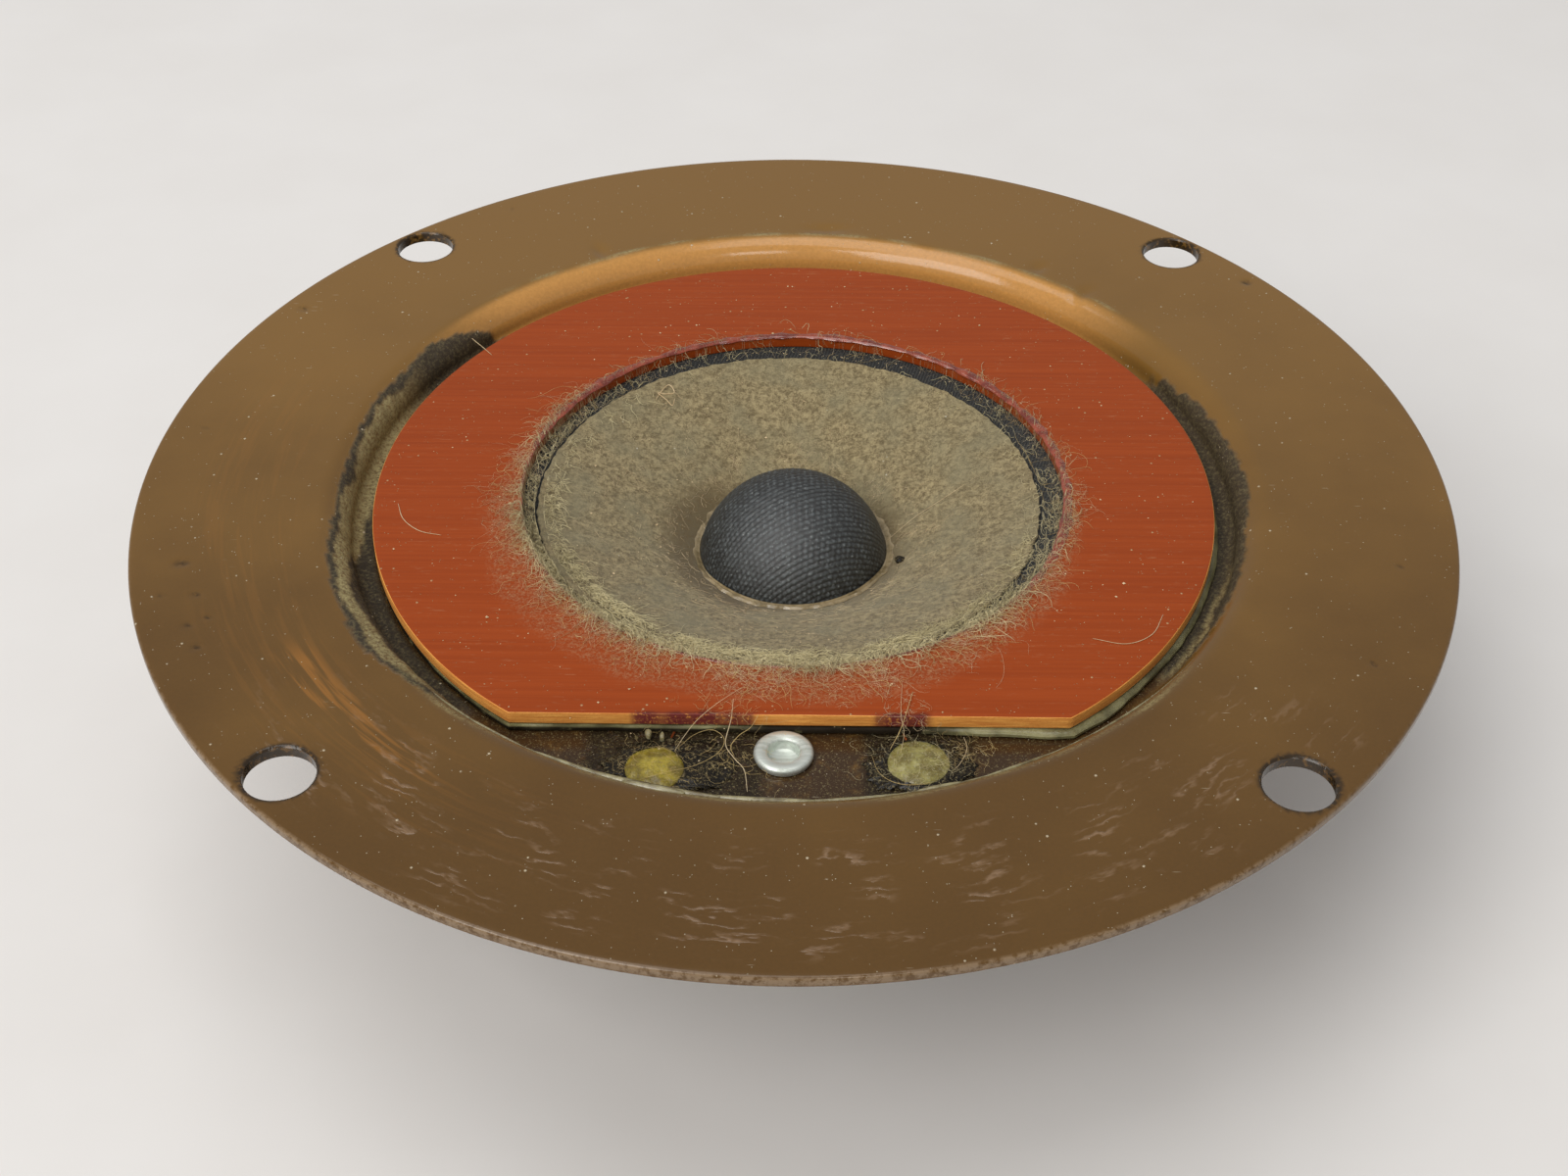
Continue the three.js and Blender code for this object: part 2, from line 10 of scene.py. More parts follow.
import logging
import math
from dataclasses import dataclass, field
from enum import Enum
from typing import Callable, Sequence

import bpy
import numpy as np
from mathutils import Matrix, Vector


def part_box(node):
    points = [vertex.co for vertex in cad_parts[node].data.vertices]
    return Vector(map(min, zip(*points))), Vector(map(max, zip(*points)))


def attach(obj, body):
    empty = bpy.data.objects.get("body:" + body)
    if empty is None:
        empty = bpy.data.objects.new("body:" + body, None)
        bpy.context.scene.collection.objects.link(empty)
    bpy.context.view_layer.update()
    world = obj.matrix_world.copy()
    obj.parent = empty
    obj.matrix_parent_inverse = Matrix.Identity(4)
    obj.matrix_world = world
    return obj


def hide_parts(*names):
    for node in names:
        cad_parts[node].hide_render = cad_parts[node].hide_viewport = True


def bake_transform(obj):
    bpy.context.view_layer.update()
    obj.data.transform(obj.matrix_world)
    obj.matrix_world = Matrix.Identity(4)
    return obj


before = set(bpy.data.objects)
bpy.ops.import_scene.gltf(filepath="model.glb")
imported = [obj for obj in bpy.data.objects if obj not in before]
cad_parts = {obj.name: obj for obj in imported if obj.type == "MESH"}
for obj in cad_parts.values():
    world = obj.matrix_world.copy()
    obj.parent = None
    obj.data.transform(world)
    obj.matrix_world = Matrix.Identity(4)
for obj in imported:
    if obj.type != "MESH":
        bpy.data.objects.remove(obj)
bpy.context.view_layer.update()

LOG = logging.getLogger("tweeter")
METRES = 0.001
TURN = 2 * math.pi

Thing = bpy.types.Object
Array = np.ndarray
Socket = bpy.types.NodeSocket
Colour = tuple[float, float, float]
Profile = list[tuple[float, float]]
Field = Callable[[Array], Array]


class Body(Enum):
    """The two rigid bodies of the frame."""

    FRAME = "frame"
    MOVING = "moving_parts"


class Slot(Enum):
    """Material slots of the record."""

    PAINT = "brown_paint"
    PHENOLIC = "phenolic"
    BOARD = "board"
    STRIP = "strip_board"
    CEMENT = "cement"
    BLACK_CLOTH = "black_cloth"
    DOME_CLOTH = "dome_cloth"
    PAPER = "paper"
    CLEAR_GLUE = "clear_glue"
    AMBER = "amber_cement"
    TAR = "tar"
    ALUMINIUM = "aluminium"
    STEEL = "plated_steel"
    BRASS = "tinned_brass"
    FERRITE = "ferrite"
    FELT = "felt"
    FORMER = "former_paper"
    SPIDER = "spider_cloth"
    COPPER = "copper"


# ---- places in the frame


@dataclass(frozen=True)
class Place:
    """The box of a CAD node in millimetres."""

    low: Array
    high: Array

    @classmethod
    def of(cls, node: str) -> "Place":
        """Reads the box of a node from the frame."""
        low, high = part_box(node)
        return cls(np.array(low) / METRES, np.array(high) / METRES)

    @property
    def middle(self) -> Array:
        """Middle of the box."""
        return (self.low + self.high) / 2

    @property
    def radius(self) -> float:
        """Half the width along X."""
        return float(self.high[0] - self.low[0]) / 2

    @property
    def bottom(self) -> float:
        """Lowest height."""
        return float(self.low[2])

    @property
    def top(self) -> float:
        """Highest height."""
        return float(self.high[2])


def node(name: str) -> Place:
    """A field that holds the box of a CAD node."""
    return field(default_factory=lambda: Place.of(name))


# ---- number fields


def smooth(low: float, high: float, value: Array) -> Array:
    """Rises smoothly from 0 at low to 1 at high.

    Args:
        low: Value at which the result is 0.
        high: Value at which the result is 1.
        value: Numbers to map.

    Returns:
        The mapped numbers.
    """
    t = np.clip((value - low) / (high - low), 0, 1)
    return t * t * (3 - 2 * t)


def wander(angle: Array, seed: int, waves: Sequence[int] = (3, 5, 8, 13, 21)) -> Array:
    """A smooth wandering line round a circle, about -1 to 1.

    Args:
        angle: Angles in radians.
        seed: Picks the line.
        waves: Waves per turn that are added up.

    Returns:
        One number per angle.
    """
    rng = np.random.default_rng(seed)
    total = np.zeros_like(angle)
    for count in waves:
        total += rng.uniform(0.5, 1.0) * np.sin(count * angle + rng.uniform(0, TURN))
    return total / len(waves) * 1.6


def plasma(x: Array, y: Array, size: float, seed: int, octaves: int = 4) -> Array:
    """Smooth random relief over a plane, about -1 to 1.

    Args:
        x: First coordinate.
        y: Second coordinate.
        size: Width of the largest features.
        seed: Picks the relief.
        octaves: How many finer copies are added.

    Returns:
        One number per point.
    """
    rng = np.random.default_rng(seed)
    total = np.zeros(np.broadcast(x, y).shape)
    gain = 1.0
    for octave in range(octaves):
        step = TURN / size * 2**octave
        for _ in range(5):
            turn = rng.uniform(0, TURN)
            stretch = rng.uniform(0.6, 1.2) * step
            phase = rng.uniform(0, TURN)
            total += gain / 5 * np.sin((x * math.cos(turn) + y * math.sin(turn)) * stretch + phase)
        gain *= 0.55
    return total


def polar(p: Array) -> tuple[Array, Array]:
    """Distance from the axis, and bearing in radians, of each point."""
    return np.hypot(p[:, 0], p[:, 1]), np.arctan2(p[:, 1], p[:, 0])


def window(angle: Array, middle: float, half: float, fade: float) -> Array:
    """1 inside a stretch of a circle and 0 outside, with soft ends.

    Args:
        angle: Angles in radians.
        middle: Middle of the stretch, in degrees.
        half: Half its length, in degrees.
        fade: Length of each soft end, in degrees.

    Returns:
        One number per angle.
    """
    away = np.abs((np.degrees(angle) - middle + 180) % 360 - 180)
    return 1 - smooth(half, half + fade, away)


# ---- mesh building


def arc(centre: tuple[float, float], radius: float, start: float, end: float, steps: int) -> Profile:
    """Points of an arc in a profile.

    Args:
        centre: Its centre as (r, z).
        radius: Its radius.
        start: First angle in degrees.
        end: Last angle in degrees.
        steps: Number of chords.

    Returns:
        The points, both ends included.
    """
    angles = np.radians(np.linspace(start, end, steps + 1))
    return [(centre[0] + radius * math.cos(a), centre[1] + radius * math.sin(a)) for a in angles]


def dense(profile: Profile, step: float, closed: bool = False) -> Profile:
    """Adds points to a profile so that no chord is longer than step.

    Args:
        profile: The points as (r, z).
        step: Longest chord.
        closed: Whether the last point joins the first.

    Returns:
        The denser profile.
    """
    result: Profile = []
    ends = profile[1:] + ([profile[0]] if closed else [])
    for (r0, z0), (r1, z1) in zip(profile, ends):
        count = max(1, math.ceil(math.hypot(r1 - r0, z1 - z0) / step))
        result += [(r0 + (r1 - r0) * i / count, z0 + (z1 - z0) * i / count) for i in range(count)]
    return result if closed else result + [profile[-1]]


def rounded(corners: Profile, radius: float, steps: int = 3) -> Profile:
    """Rounds every corner of a closed profile.

    Args:
        corners: The sharp corners as (r, z).
        radius: Size of the rounding, cut down on short sides.
        steps: Chords in each rounding.

    Returns:
        The rounded profile.
    """
    result: Profile = []
    for i, here in enumerate(corners):
        at = np.array(here)
        before = np.array(corners[i - 1]) - at
        after = np.array(corners[(i + 1) % len(corners)]) - at
        reach = min(radius, np.linalg.norm(before) * 0.45, np.linalg.norm(after) * 0.45)
        start = at + before / np.linalg.norm(before) * reach
        end = at + after / np.linalg.norm(after) * reach
        for t in np.linspace(0, 1, steps + 1):
            point = (1 - t) ** 2 * start + 2 * t * (1 - t) * at + t**2 * end
            result.append((float(point[0]), float(point[1])))
    return result


@dataclass
class Soup:
    """Points and faces that grow into one mesh."""

    points: list[Array] = field(default_factory=list)
    faces: list[list[int]] = field(default_factory=list)
    count: int = 0

    def add(self, points: Array, faces: Array | list[list[int]]) -> None:
        """Adds points and the faces between them."""
        shift = self.count
        self.points.append(np.asarray(points, float))
        self.faces.extend([[int(k) + shift for k in face] for face in faces])
        self.count += len(points)

    def all_points(self) -> Array:
        """Every point so far."""
        return np.concatenate(self.points)


def make_mesh(name: str, points: Array, faces: Sequence[Sequence[int]], sharp: float = 35.0) -> Thing:
    """Makes one mesh object.

    Args:
        name: Name of the object.
        points: Places in millimetres.
        faces: Corners of each face.
        sharp: Edges that turn more than this many degrees stay sharp.

    Returns:
        The object, linked to the scene.
    """
    mesh = bpy.data.meshes.new(name)
    mesh.from_pydata((np.asarray(points) * METRES).tolist(), [], [list(f) for f in faces])
    mesh.update()
    mesh.shade_smooth()
    mesh.set_sharp_from_angle(angle=math.radians(sharp))
    obj = bpy.data.objects.new(name, mesh)
    bpy.context.scene.collection.objects.link(obj)
    return obj


def revolve_points(profile: Profile, sides: int, closed: bool = True) -> tuple[Array, list[list[int]]]:
    """Turns a profile about Z.

    Args:
        profile: Points as (r, z); an open profile starts and ends on the axis.
        sides: Number of sides.
        closed: Whether the profile is a loop away from the axis.

    Returns:
        Points and faces, with the faces pointing out.
    """
    line = np.array(profile)
    following = np.roll(line, -1, axis=0)
    area = np.sum(line[:, 0] * following[:, 1] - following[:, 0] * line[:, 1])
    if area < 0:
        line = line[::-1]
    angles = np.arange(sides) * TURN / sides
    turn = np.arange(sides)
    nxt = (turn + 1) % sides
    ring = line if closed else line[1:-1]
    x = np.outer(ring[:, 0], np.cos(angles))
    y = np.outer(ring[:, 0], np.sin(angles))
    z = np.repeat(ring[:, 1:2], sides, axis=1)
    points = np.stack([x, y, z], axis=-1).reshape(-1, 3)
    rows = len(ring)
    faces: list[list[int]] = []
    for j in range(rows if closed else rows - 1):
        a, b = j * sides, (j + 1) % rows * sides
        faces += np.stack([a + turn, a + nxt, b + nxt, b + turn], axis=1).tolist()
    if not closed:
        first, last = len(points), len(points) + 1
        ends = [[0, 0, line[0, 1]], [0, 0, line[-1, 1]]]
        points = np.concatenate([points, np.array(ends)])
        faces += [[first, int(b), int(a)] for a, b in zip(turn, nxt)]
        top = (rows - 1) * sides
        faces += [[last, top + int(a), top + int(b)] for a, b in zip(turn, nxt)]
    return points, faces


def revolve(name: str, profile: Profile, sides: int, closed: bool = True, warp: Field | None = None,
            at: Sequence[float] = (0, 0), sharp: float = 35.0) -> Thing:
    """Makes a turned object, bent out of true by a function of its points.

    Args:
        name: Name of the object.
        profile: Points as (r, z).
        sides: Number of sides.
        closed: Whether the profile is a loop away from the axis.
        warp: Moves the points before they are shifted to their place.
        at: Where the axis stands.
        sharp: Edges that turn more than this stay sharp.

    Returns:
        The object.
    """
    points, faces = revolve_points(profile, sides, closed)
    if warp is not None:
        points = warp(points)
    points = points + np.array([at[0], at[1], 0.0])
    return make_mesh(name, points, faces, sharp)


def flat_piece(name: str, outline: Array, bottom: float, top: float, bevel: float, crown: float = 0.0) -> Thing:
    """A flat piece of any convex or nearly convex outline with rounded edges.

    Args:
        name: Name of the object.
        outline: Points as (x, y), anticlockwise.
        bottom: Lower height.
        top: Upper height.
        bevel: Size of the rounding on both edges.
        crown: How far the middle of the top stands above its edge.

    Returns:
        The object.
    """
    centre = outline.mean(axis=0)
    reach = np.linalg.norm(outline - centre, axis=1).mean()
    levels = [(0.0, bottom), (0.5, bottom), (1 - bevel / reach, bottom), (1, bottom + bevel), (1, top - bevel)]
    levels += [(1 - 0.3 * bevel / reach, top - 0.3 * bevel), (1 - bevel / reach, top), (0.75, top + crown * 0.45),
               (0.4, top + crown * 0.85), (0.0, top + crown)]
    count = len(outline)
    soup = Soup()
    rings = levels[1:-1]
    stack = [np.column_stack([centre + (outline - centre) * s, np.full(count, z)]) for s, z in rings]
    soup.add(np.concatenate(stack + [[[*centre, levels[0][1]], [*centre, levels[-1][1]]]]), [])
    i = np.arange(count)
    j = (i + 1) % count
    for k in range(len(rings) - 1):
        a, b = k * count, (k + 1) * count
        soup.faces += np.stack([a + i, a + j, b + j, b + i], axis=1).tolist()
    low, high = count * len(rings), count * len(rings) + 1
    last = (len(rings) - 1) * count
    soup.faces += [[low, int(q), int(p)] for p, q in zip(i, j)]
    soup.faces += [[high, last + int(p), last + int(q)] for p, q in zip(i, j)]
    return make_mesh(name, soup.all_points(), soup.faces)


def make_threads(name: str, paths: Array, radius: Array, sides: int = 3, taper: float = 0.35) -> Thing:
    """Many thin threads as one object.

    Args:
        name: Name of the object.
        paths: Places along each thread, as (thread, step, xyz).
        radius: Radius of each thread.
        sides: Sides of a thread.
        taper: Radius at a thread's ends, as a share of its full radius.

    Returns:
        The object.
    """
    threads, steps, _ = paths.shape
    along = np.gradient(paths, axis=1)
    along /= np.linalg.norm(along, axis=2, keepdims=True) + 1e-9
    helper = np.where(np.abs(along[..., 2:3]) > 0.9, [1.0, 0, 0], [0, 0, 1.0])
    side = np.cross(along, helper)
    side /= np.linalg.norm(side, axis=2, keepdims=True) + 1e-9
    up = np.cross(side, along)
    t = np.linspace(0, 1, steps)
    width = taper + (1 - taper) * np.sin(np.pi * t) ** 0.5
    r = radius[:, None, None, None] * width[None, :, None, None]
    turn = np.arange(sides) * TURN / sides
    spin_side = side[:, :, None, :] * np.cos(turn)[None, None, :, None]
    spin_up = up[:, :, None, :] * np.sin(turn)[None, None, :, None]
    points = (paths[:, :, None, :] + r * (spin_side + spin_up)).reshape(-1, 3)
    base = np.arange(threads)[:, None, None] * steps * sides
    row = np.arange(steps - 1)[None, :, None] * sides
    i = np.arange(sides)[None, None, :]
    j = (i + 1) % sides
    quads = np.stack([base + row + i, base + row + sides + i, base + row + sides + j, base + row + j], -1)
    faces = quads.reshape(-1, 4).tolist()
    start = np.arange(threads) * steps * sides
    ends = start + (steps - 1) * sides
    faces += [[int(s) + k for k in range(sides)] for s in start]
    faces += [[int(e) + k for k in reversed(range(sides))] for e in ends]
    return make_mesh(name, points, faces, 180.0)


def drill(at: Sequence[float], radius: float, low: float, high: float, sides: int) -> Thing:
    """A plain round tool between two heights."""
    return revolve("hole", [(0, low), (radius, low), (radius, high), (0, high)], sides, False, None, at)


def cut_out(obj: Thing, tools: Sequence[Thing]) -> None:
    """Cuts tools out of an object and deletes the tools."""
    for tool in tools:
        modifier = obj.modifiers.new("cut", "BOOLEAN")
        modifier.operation = "DIFFERENCE"
        modifier.solver = "EXACT"
        modifier.object = tool
    bpy.context.view_layer.update()
    evaluated = obj.evaluated_get(bpy.context.evaluated_depsgraph_get())
    mesh = bpy.data.meshes.new_from_object(evaluated)
    obj.modifiers.clear()
    old = obj.data
    obj.data = mesh
    bpy.data.meshes.remove(old)
    mesh.name = obj.name
    mesh.shade_smooth()
    mesh.set_sharp_from_angle(angle=math.radians(35))
    for tool in tools:
        bpy.data.objects.remove(tool)


def places_of(obj: Thing) -> Array:
    """Places of an object's points in millimetres."""
    flat = np.empty(len(obj.data.vertices) * 3)
    obj.data.vertices.foreach_get("co", flat)
    return flat.reshape(-1, 3) / METRES


def paint(obj: Thing, **layers: Array) -> None:
    """Stores one number per point under each name that a finish reads."""
    for name, values in layers.items():
        layer = obj.data.attributes.new(name, "FLOAT", "POINT")
        layer.data.foreach_set("value", np.asarray(values, np.float32))


def paint_flow(obj: Thing) -> None:
    """Stores bearing and distance out for finishes that run round a piece, with no seam."""
    p = places_of(obj)
    r = np.hypot(p[:, 0], p[:, 1]) + 1e-6
    turn = p[:, :2] / r[:, None] * 45.0
    layer = obj.data.attributes.new("flow", "FLOAT_VECTOR", "POINT")
    layer.data.foreach_set("vector", np.column_stack([turn, r + 0.7 * p[:, 2]]).astype(np.float32).ravel())


def settle(obj: Thing, finish: "Finish", *nodes: str, body: Body = Body.FRAME) -> Thing:
    """Gives a piece its finish, hides the nodes that it stands for and lets it ride.

    Args:
        obj: The piece.
        finish: Finish that it gets.
        nodes: CAD nodes that it replaces.
        body: Body that carries it.

    Returns:
        The same object.
    """
    obj.data.materials.clear()
    obj.data.materials.append(finish.material())
    if nodes:
        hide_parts(*nodes)
    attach(obj, body.value)
    LOG.info("piece %s: %d faces", obj.name, len(obj.data.polygons))
    return obj


# ---- finishes


def tint(red: int, green: int, blue: int) -> Colour:
    """A screen colour as linear light.

    Args:
        red: 0 to 255.
        green: 0 to 255.
        blue: 0 to 255.

    Returns:
        The linear colour.
    """
    def line(value: int) -> float:
        """One channel."""
        v = value / 255
        return v / 12.92 if v <= 0.04045 else ((v + 0.055) / 1.055) ** 2.4

    return line(red), line(green), line(blue)


class Shader:
    """A material's node tree while it is being made."""

    def __init__(self, name: str) -> None:
        """Starts a material with its principled surface."""
        self.result = bpy.data.materials.new(name)
        self.result.use_nodes = True
        self.tree = self.result.node_tree
        self.surface = self.tree.nodes["Principled BSDF"]
        self.object_place = self.node("TexCoord", "Object", {})
        self.colour: Socket | Colour = (1.0, 1.0, 1.0)

    def node(self, kind: str, out: str | int, inputs: dict, **settings: str) -> Socket:
        """Adds a node.

        Args:
            kind: Its type, without the common first part.
            out: Output that is wanted.
            inputs: What each input is fed.
            settings: Its own settings.

        Returns:
            The output.
        """
        node = self.tree.nodes.new("ShaderNode" + kind)
        for name, value in settings.items():
            setattr(node, name, value)
        for key, value in inputs.items():
            self.feed(value, node.inputs[key])
        return node.outputs[out]

    def feed(self, source: Socket | float | Colour, target: Socket) -> None:
        """Links a socket, or sets a constant, on a target socket."""
        if isinstance(source, bpy.types.NodeSocket):
            self.tree.links.new(source, target)
        elif isinstance(source, tuple):
            target.default_value = (*source, 1.0) if len(target.default_value) == 4 else source
        else:
            target.default_value = source

    def place(self, stretch: Colour = (1, 1, 1), turn: float = 0.0) -> Socket:
        """Place on the object in millimetres, stretched and turned about Z (degrees)."""
        scale = tuple(s / METRES for s in stretch)
        rotation = (0, 0, math.radians(turn))
        return self.node("Mapping", "Vector", {"Scale": scale, "Rotation": rotation, "Vector": self.object_place})

    def flow(self, along: float, across: float) -> Socket:
        """Place on a round piece, stretched by one share along its rounds and another across them."""
        source = self.node("Attribute", "Vector", {}, attribute_name="flow")
        return self.node("Mapping", "Vector", {"Scale": (along, along, across), "Vector": source})

    def painted(self, name: str) -> Socket:
        """Number painted on the points under a name."""
        return self.node("Attribute", "Fac", {}, attribute_name=name)

    def noise(self, place: Socket, scale: float, detail: float = 3, rough: float = 0.55, bend: float = 0) -> Socket:
        """Cloudy noise, with scale in features per millimetre."""
        return self.node("TexNoise", "Fac", {"Vector": place, "Scale": scale, "Detail": detail, "Roughness": rough,
                                             "Distortion": bend})

    def cells(self, place: Socket, scale: float) -> Socket:
        """Distance to the nearest of many scattered points."""
        return self.node("TexVoronoi", "Distance", {"Vector": place, "Scale": scale})

    def math(self, operation: str, a: Socket | float, b: Socket | float = 0.0) -> Socket:
        """One arithmetic step."""
        return self.node("Math", 0, {0: a, 1: b}, operation=operation)

    def times(self, *values: Socket | float) -> Socket:
        """Product of two or more values."""
        result = values[0]
        for value in values[1:]:
            result = self.math("MULTIPLY", result, value)
        return result

    def rise(self, value: Socket, low: float, high: float) -> Socket:
        """0 below low, 1 above high, smooth between; low may be the larger."""
        flip = float(low > high)
        return self.node("MapRange", "Result", {"Value": value, "From Min": min(low, high),
                                                "From Max": max(low, high), "To Min": flip, "To Max": 1.0 - flip},
                         interpolation_type="SMOOTHSTEP")

    def span(self, value: Socket, low: float, high: float) -> Socket:
        """Maps 0..1 to low..high."""
        return self.node("MapRange", "Result", {"Value": value, "To Min": low, "To Max": high})

    def mix(self, amount: Socket | float, a: Socket | Colour, b: Socket | Colour) -> Socket:
        """Mixes two colours."""
        return self.node("Mix", 2, {"Factor": amount, 6: a, 7: b}, data_type="RGBA")

    def lay(self, over: Socket | Colour, *shares: Socket | float) -> None:
        """Lays a colour over what the surface has, as thickly as the product of the shares."""
        self.colour = self.mix(self.times(*shares), self.colour, over)

    def specks(self, scale: float, size: float, share: float, seed_shift: float = 0.0) -> Socket:
        """Scattered specks: 1 on a speck and 0 off it.

        Args:
            scale: Possible specks per millimetre.
            size: Radius of a speck as a share of the spacing.
            share: Noise level above which specks appear.
            seed_shift: Moves the pattern.

        Returns:
            The mask.
        """
        place = self.node("VectorMath", 0, {0: self.place(), 1: (seed_shift, seed_shift * 2, 0)}, operation="ADD")
        spot = self.rise(self.cells(place, scale), size, size * 0.55)
        return self.times(spot, self.rise(self.noise(place, scale * 0.45, 1), share, share + 0.03))

    def bump(self, height: Socket, millimetres: float, under: Socket | None = None) -> Socket:
        """Relief of a height in millimetres, laid over another relief."""
        inputs = {"Strength": 1.0, "Distance": millimetres * METRES, "Height": height}
        return self.node("Bump", "Normal", inputs if under is None else {**inputs, "Normal": under})

    def set(self, name: str, value: Socket | float | Colour) -> None:
        """Feeds one input of the surface."""
        self.feed(value, self.surface.inputs[name])


class Finish:
    """A finish that is built once and shared."""

    _made: dict["Finish", bpy.types.Material] = {}

    def material(self) -> bpy.types.Material:
        """The finish's material, made on first use."""
        if self not in Finish._made:
            shader = Shader(self.name)
            self.build(shader, shader.place())
            shader.set("Base Color", shader.colour)
            Finish._made[self] = shader.result
        return Finish._made[self]

    def build(self, s: Shader, here: Socket) -> None:
        """Lays the finish.

        Args:
            s: Shader of the new material.
            here: Place on the object in millimetres.
        """
        raise NotImplementedError


@dataclass(frozen=True)
class GlossPaint(Finish):
    """Old glossy brown paint on steel, with dust, scratches, wrinkles, chips and a worn rim, with painted highlights on
    its shoulder and wrinkle ridges and a painted sheen towards the back.
    """

    name: str = "brown_gloss_paint"
    slot: Slot = Slot.PAINT
    light: Colour = tint(124, 92, 44)
    dark: Colour = tint(84, 60, 26)
    speck: Colour = tint(205, 190, 160)
    residue_dark: Colour = tint(46, 39, 28)
    residue_light: Colour = tint(170, 156, 108)
    worn: Colour = tint(150, 100, 42)
    chip: Colour = tint(38, 29, 18)
    bare: Colour = tint(146, 124, 98)
    floor_stain: Colour = tint(58, 40, 22)
    # painted highlight: warm colour laid on the back of the shoulder's roll
    gold: Colour = tint(226, 164, 90)
    # painted highlight colour for the wrinkle ridges
    crest: Colour = tint(150, 122, 96)

    def build(self, s: Shader, here: Socket) -> None:
        """Lays the finish."""
        # painted sheen: random tone plus a gradient that lays the paint lighter towards the back and darker at the
        # front
        tone = s.math("ADD", s.times(s.noise(here, 0.05, 4), 0.7), s.painted("tone"))
        s.colour = s.mix(s.rise(tone, 0.1, 0.9), self.dark, self.light)
        grain = s.noise(here, 3.0, 4, 0.7)
        s.lay(self.worn, s.span(grain, 0.0, 0.14))
        s.lay(self.floor_stain, s.painted("floor"), s.rise(s.noise(here, 0.8, 5, 0.7), 0.2, 0.5))
        streak = s.rise(s.noise(s.flow(0.10, 1.6), 1.0, 3, 0.6, 0.4), 0.47, 0.64)
        s.lay(self.worn, s.painted("worn"), streak)
        # painted highlight: a warm reflection laid as colour along the back of the shoulder
        s.lay(self.gold, s.painted("gold"), s.span(grain, 0.35, 0.95))
        waver = s.times(s.noise(s.flow(0.14, 0.3), 1.0, 4, 0.62), 5.5)
        rounds = s.math("PINGPONG", s.math("ADD", s.times(s.painted("radius"), 0.72), waver), 0.5)
        ridge = s.times(s.rise(rounds, 0.26, 0.49), s.painted("wrinkle"))
        ridge = s.times(ridge, s.rise(s.noise(s.flow(0.26, 0.8), 1.0, 4, 0.7), 0.40, 0.66))
        # painted highlight: the wrinkle ridges are laid lighter, as light catching them
        s.lay(self.crest, ridge, 0.62)
        crumbs = s.noise(here, 3.2, 6, 0.85)
        soot = s.mix(s.rise(crumbs, 0.46, 0.64), self.residue_dark, s.mix(0.3, self.residue_dark, self.residue_light))
        dusty = s.mix(s.rise(crumbs, 0.36, 0.60), s.mix(0.5, self.residue_dark, self.residue_light), self.residue_light)
        film = s.times(s.painted("film"), s.rise(s.noise(here, 1.1, 5, 0.7), 0.34, 0.46))
        s.lay(s.mix(s.rise(s.noise(here, 2.0, 6, 0.85), 0.55, 0.86), self.chip, self.residue_light), film)
        grit = s.times(s.painted("floor"), s.rise(s.noise(here, 6.0, 5, 0.85), 0.56, 0.66))
        s.lay(self.residue_light, grit, 0.7)
        s.lay(soot, s.painted("soot"))
        # the dust mask here also carries the painted highlight lines along the shoulder
        s.lay(dusty, s.painted("dusty"), s.rise(crumbs, 0.34, 0.55))
        dust = s.specks(0.9, 0.13, 0.60)
        fine_dust = s.times(s.specks(2.6, 0.17, 0.60, 7.0), 0.7)
        s.lay(self.speck, dust, 0.75)
        s.lay(self.speck, fine_dust)
        scratch_place = s.place((0.22, 3.0, 1), 24)
        scratch = s.times(s.rise(s.cells(scratch_place, 0.8), 0.075, 0.03), s.rise(s.noise(here, 0.11, 2), 0.55, 0.62))
        s.lay(self.speck, scratch, 0.45)
        chip = s.times(s.painted("chip"), s.rise(s.noise(here, 2.2, 3), 0.30, 0.5))
        s.lay(self.chip, chip)
        s.lay(self.bare, s.painted("rim"), s.rise(s.noise(here, 1.5, 4, 0.7), 0.38, 0.56))
        rough = s.span(s.noise(here, 0.5, 4, 0.6), 0.16, 0.27)
        rough = s.math("ADD", rough, s.times(film, 0.06))
        rough = s.math("SUBTRACT", rough, s.times(s.painted("gold"), 0.08))
        rough = s.math("ADD", rough, s.times(s.painted("soot"), 0.45))
        rough = s.math("ADD", rough, s.times(s.painted("dusty"), 0.3))
        s.set("Roughness", rough)
        peel = s.bump(s.noise(here, 0.8, 3, 0.5), 0.016)
        relief = s.bump(ridge, 0.05, peel)
        relief = s.bump(s.times(s.math("ADD", s.painted("soot"), s.painted("dusty")), crumbs), 0.14, relief)
        relief = s.bump(s.math("ADD", dust, fine_dust), 0.05, relief)
        relief = s.bump(s.times(film, s.noise(here, 2.6, 4, 0.6)), 0.09, relief)
        s.set("Normal", s.bump(s.math("SUBTRACT", 1.0, scratch), 0.01, relief))
        s.set("Specular IOR Level", s.span(film, 0.4, 0.2))
        s.set("Coat Weight", 0.05)
        s.set("Coat Roughness", 0.10)


@dataclass(frozen=True)
class PlainPaint(Finish):
    """The same brown paint on the parts behind, dull and dusty."""

    name: str = "brown_dull_paint"
    slot: Slot = Slot.PAINT
    light: Colour = tint(104, 80, 50)
    dark: Colour = tint(78, 58, 36)
    dust: Colour = tint(140, 128, 104)

    def build(self, s: Shader, here: Socket) -> None:
        """Lays the finish."""
        s.colour = s.mix(s.rise(s.noise(here, 0.09, 4), 0.3, 0.7), self.dark, self.light)
        s.lay(self.dust, s.rise(s.noise(here, 1.7, 6, 0.75), 0.52, 0.75), 0.45)
        s.set("Roughness", s.span(s.noise(here, 0.7, 4), 0.34, 0.62))
        s.set("Normal", s.bump(s.noise(here, 1.1, 4, 0.6), 0.03))


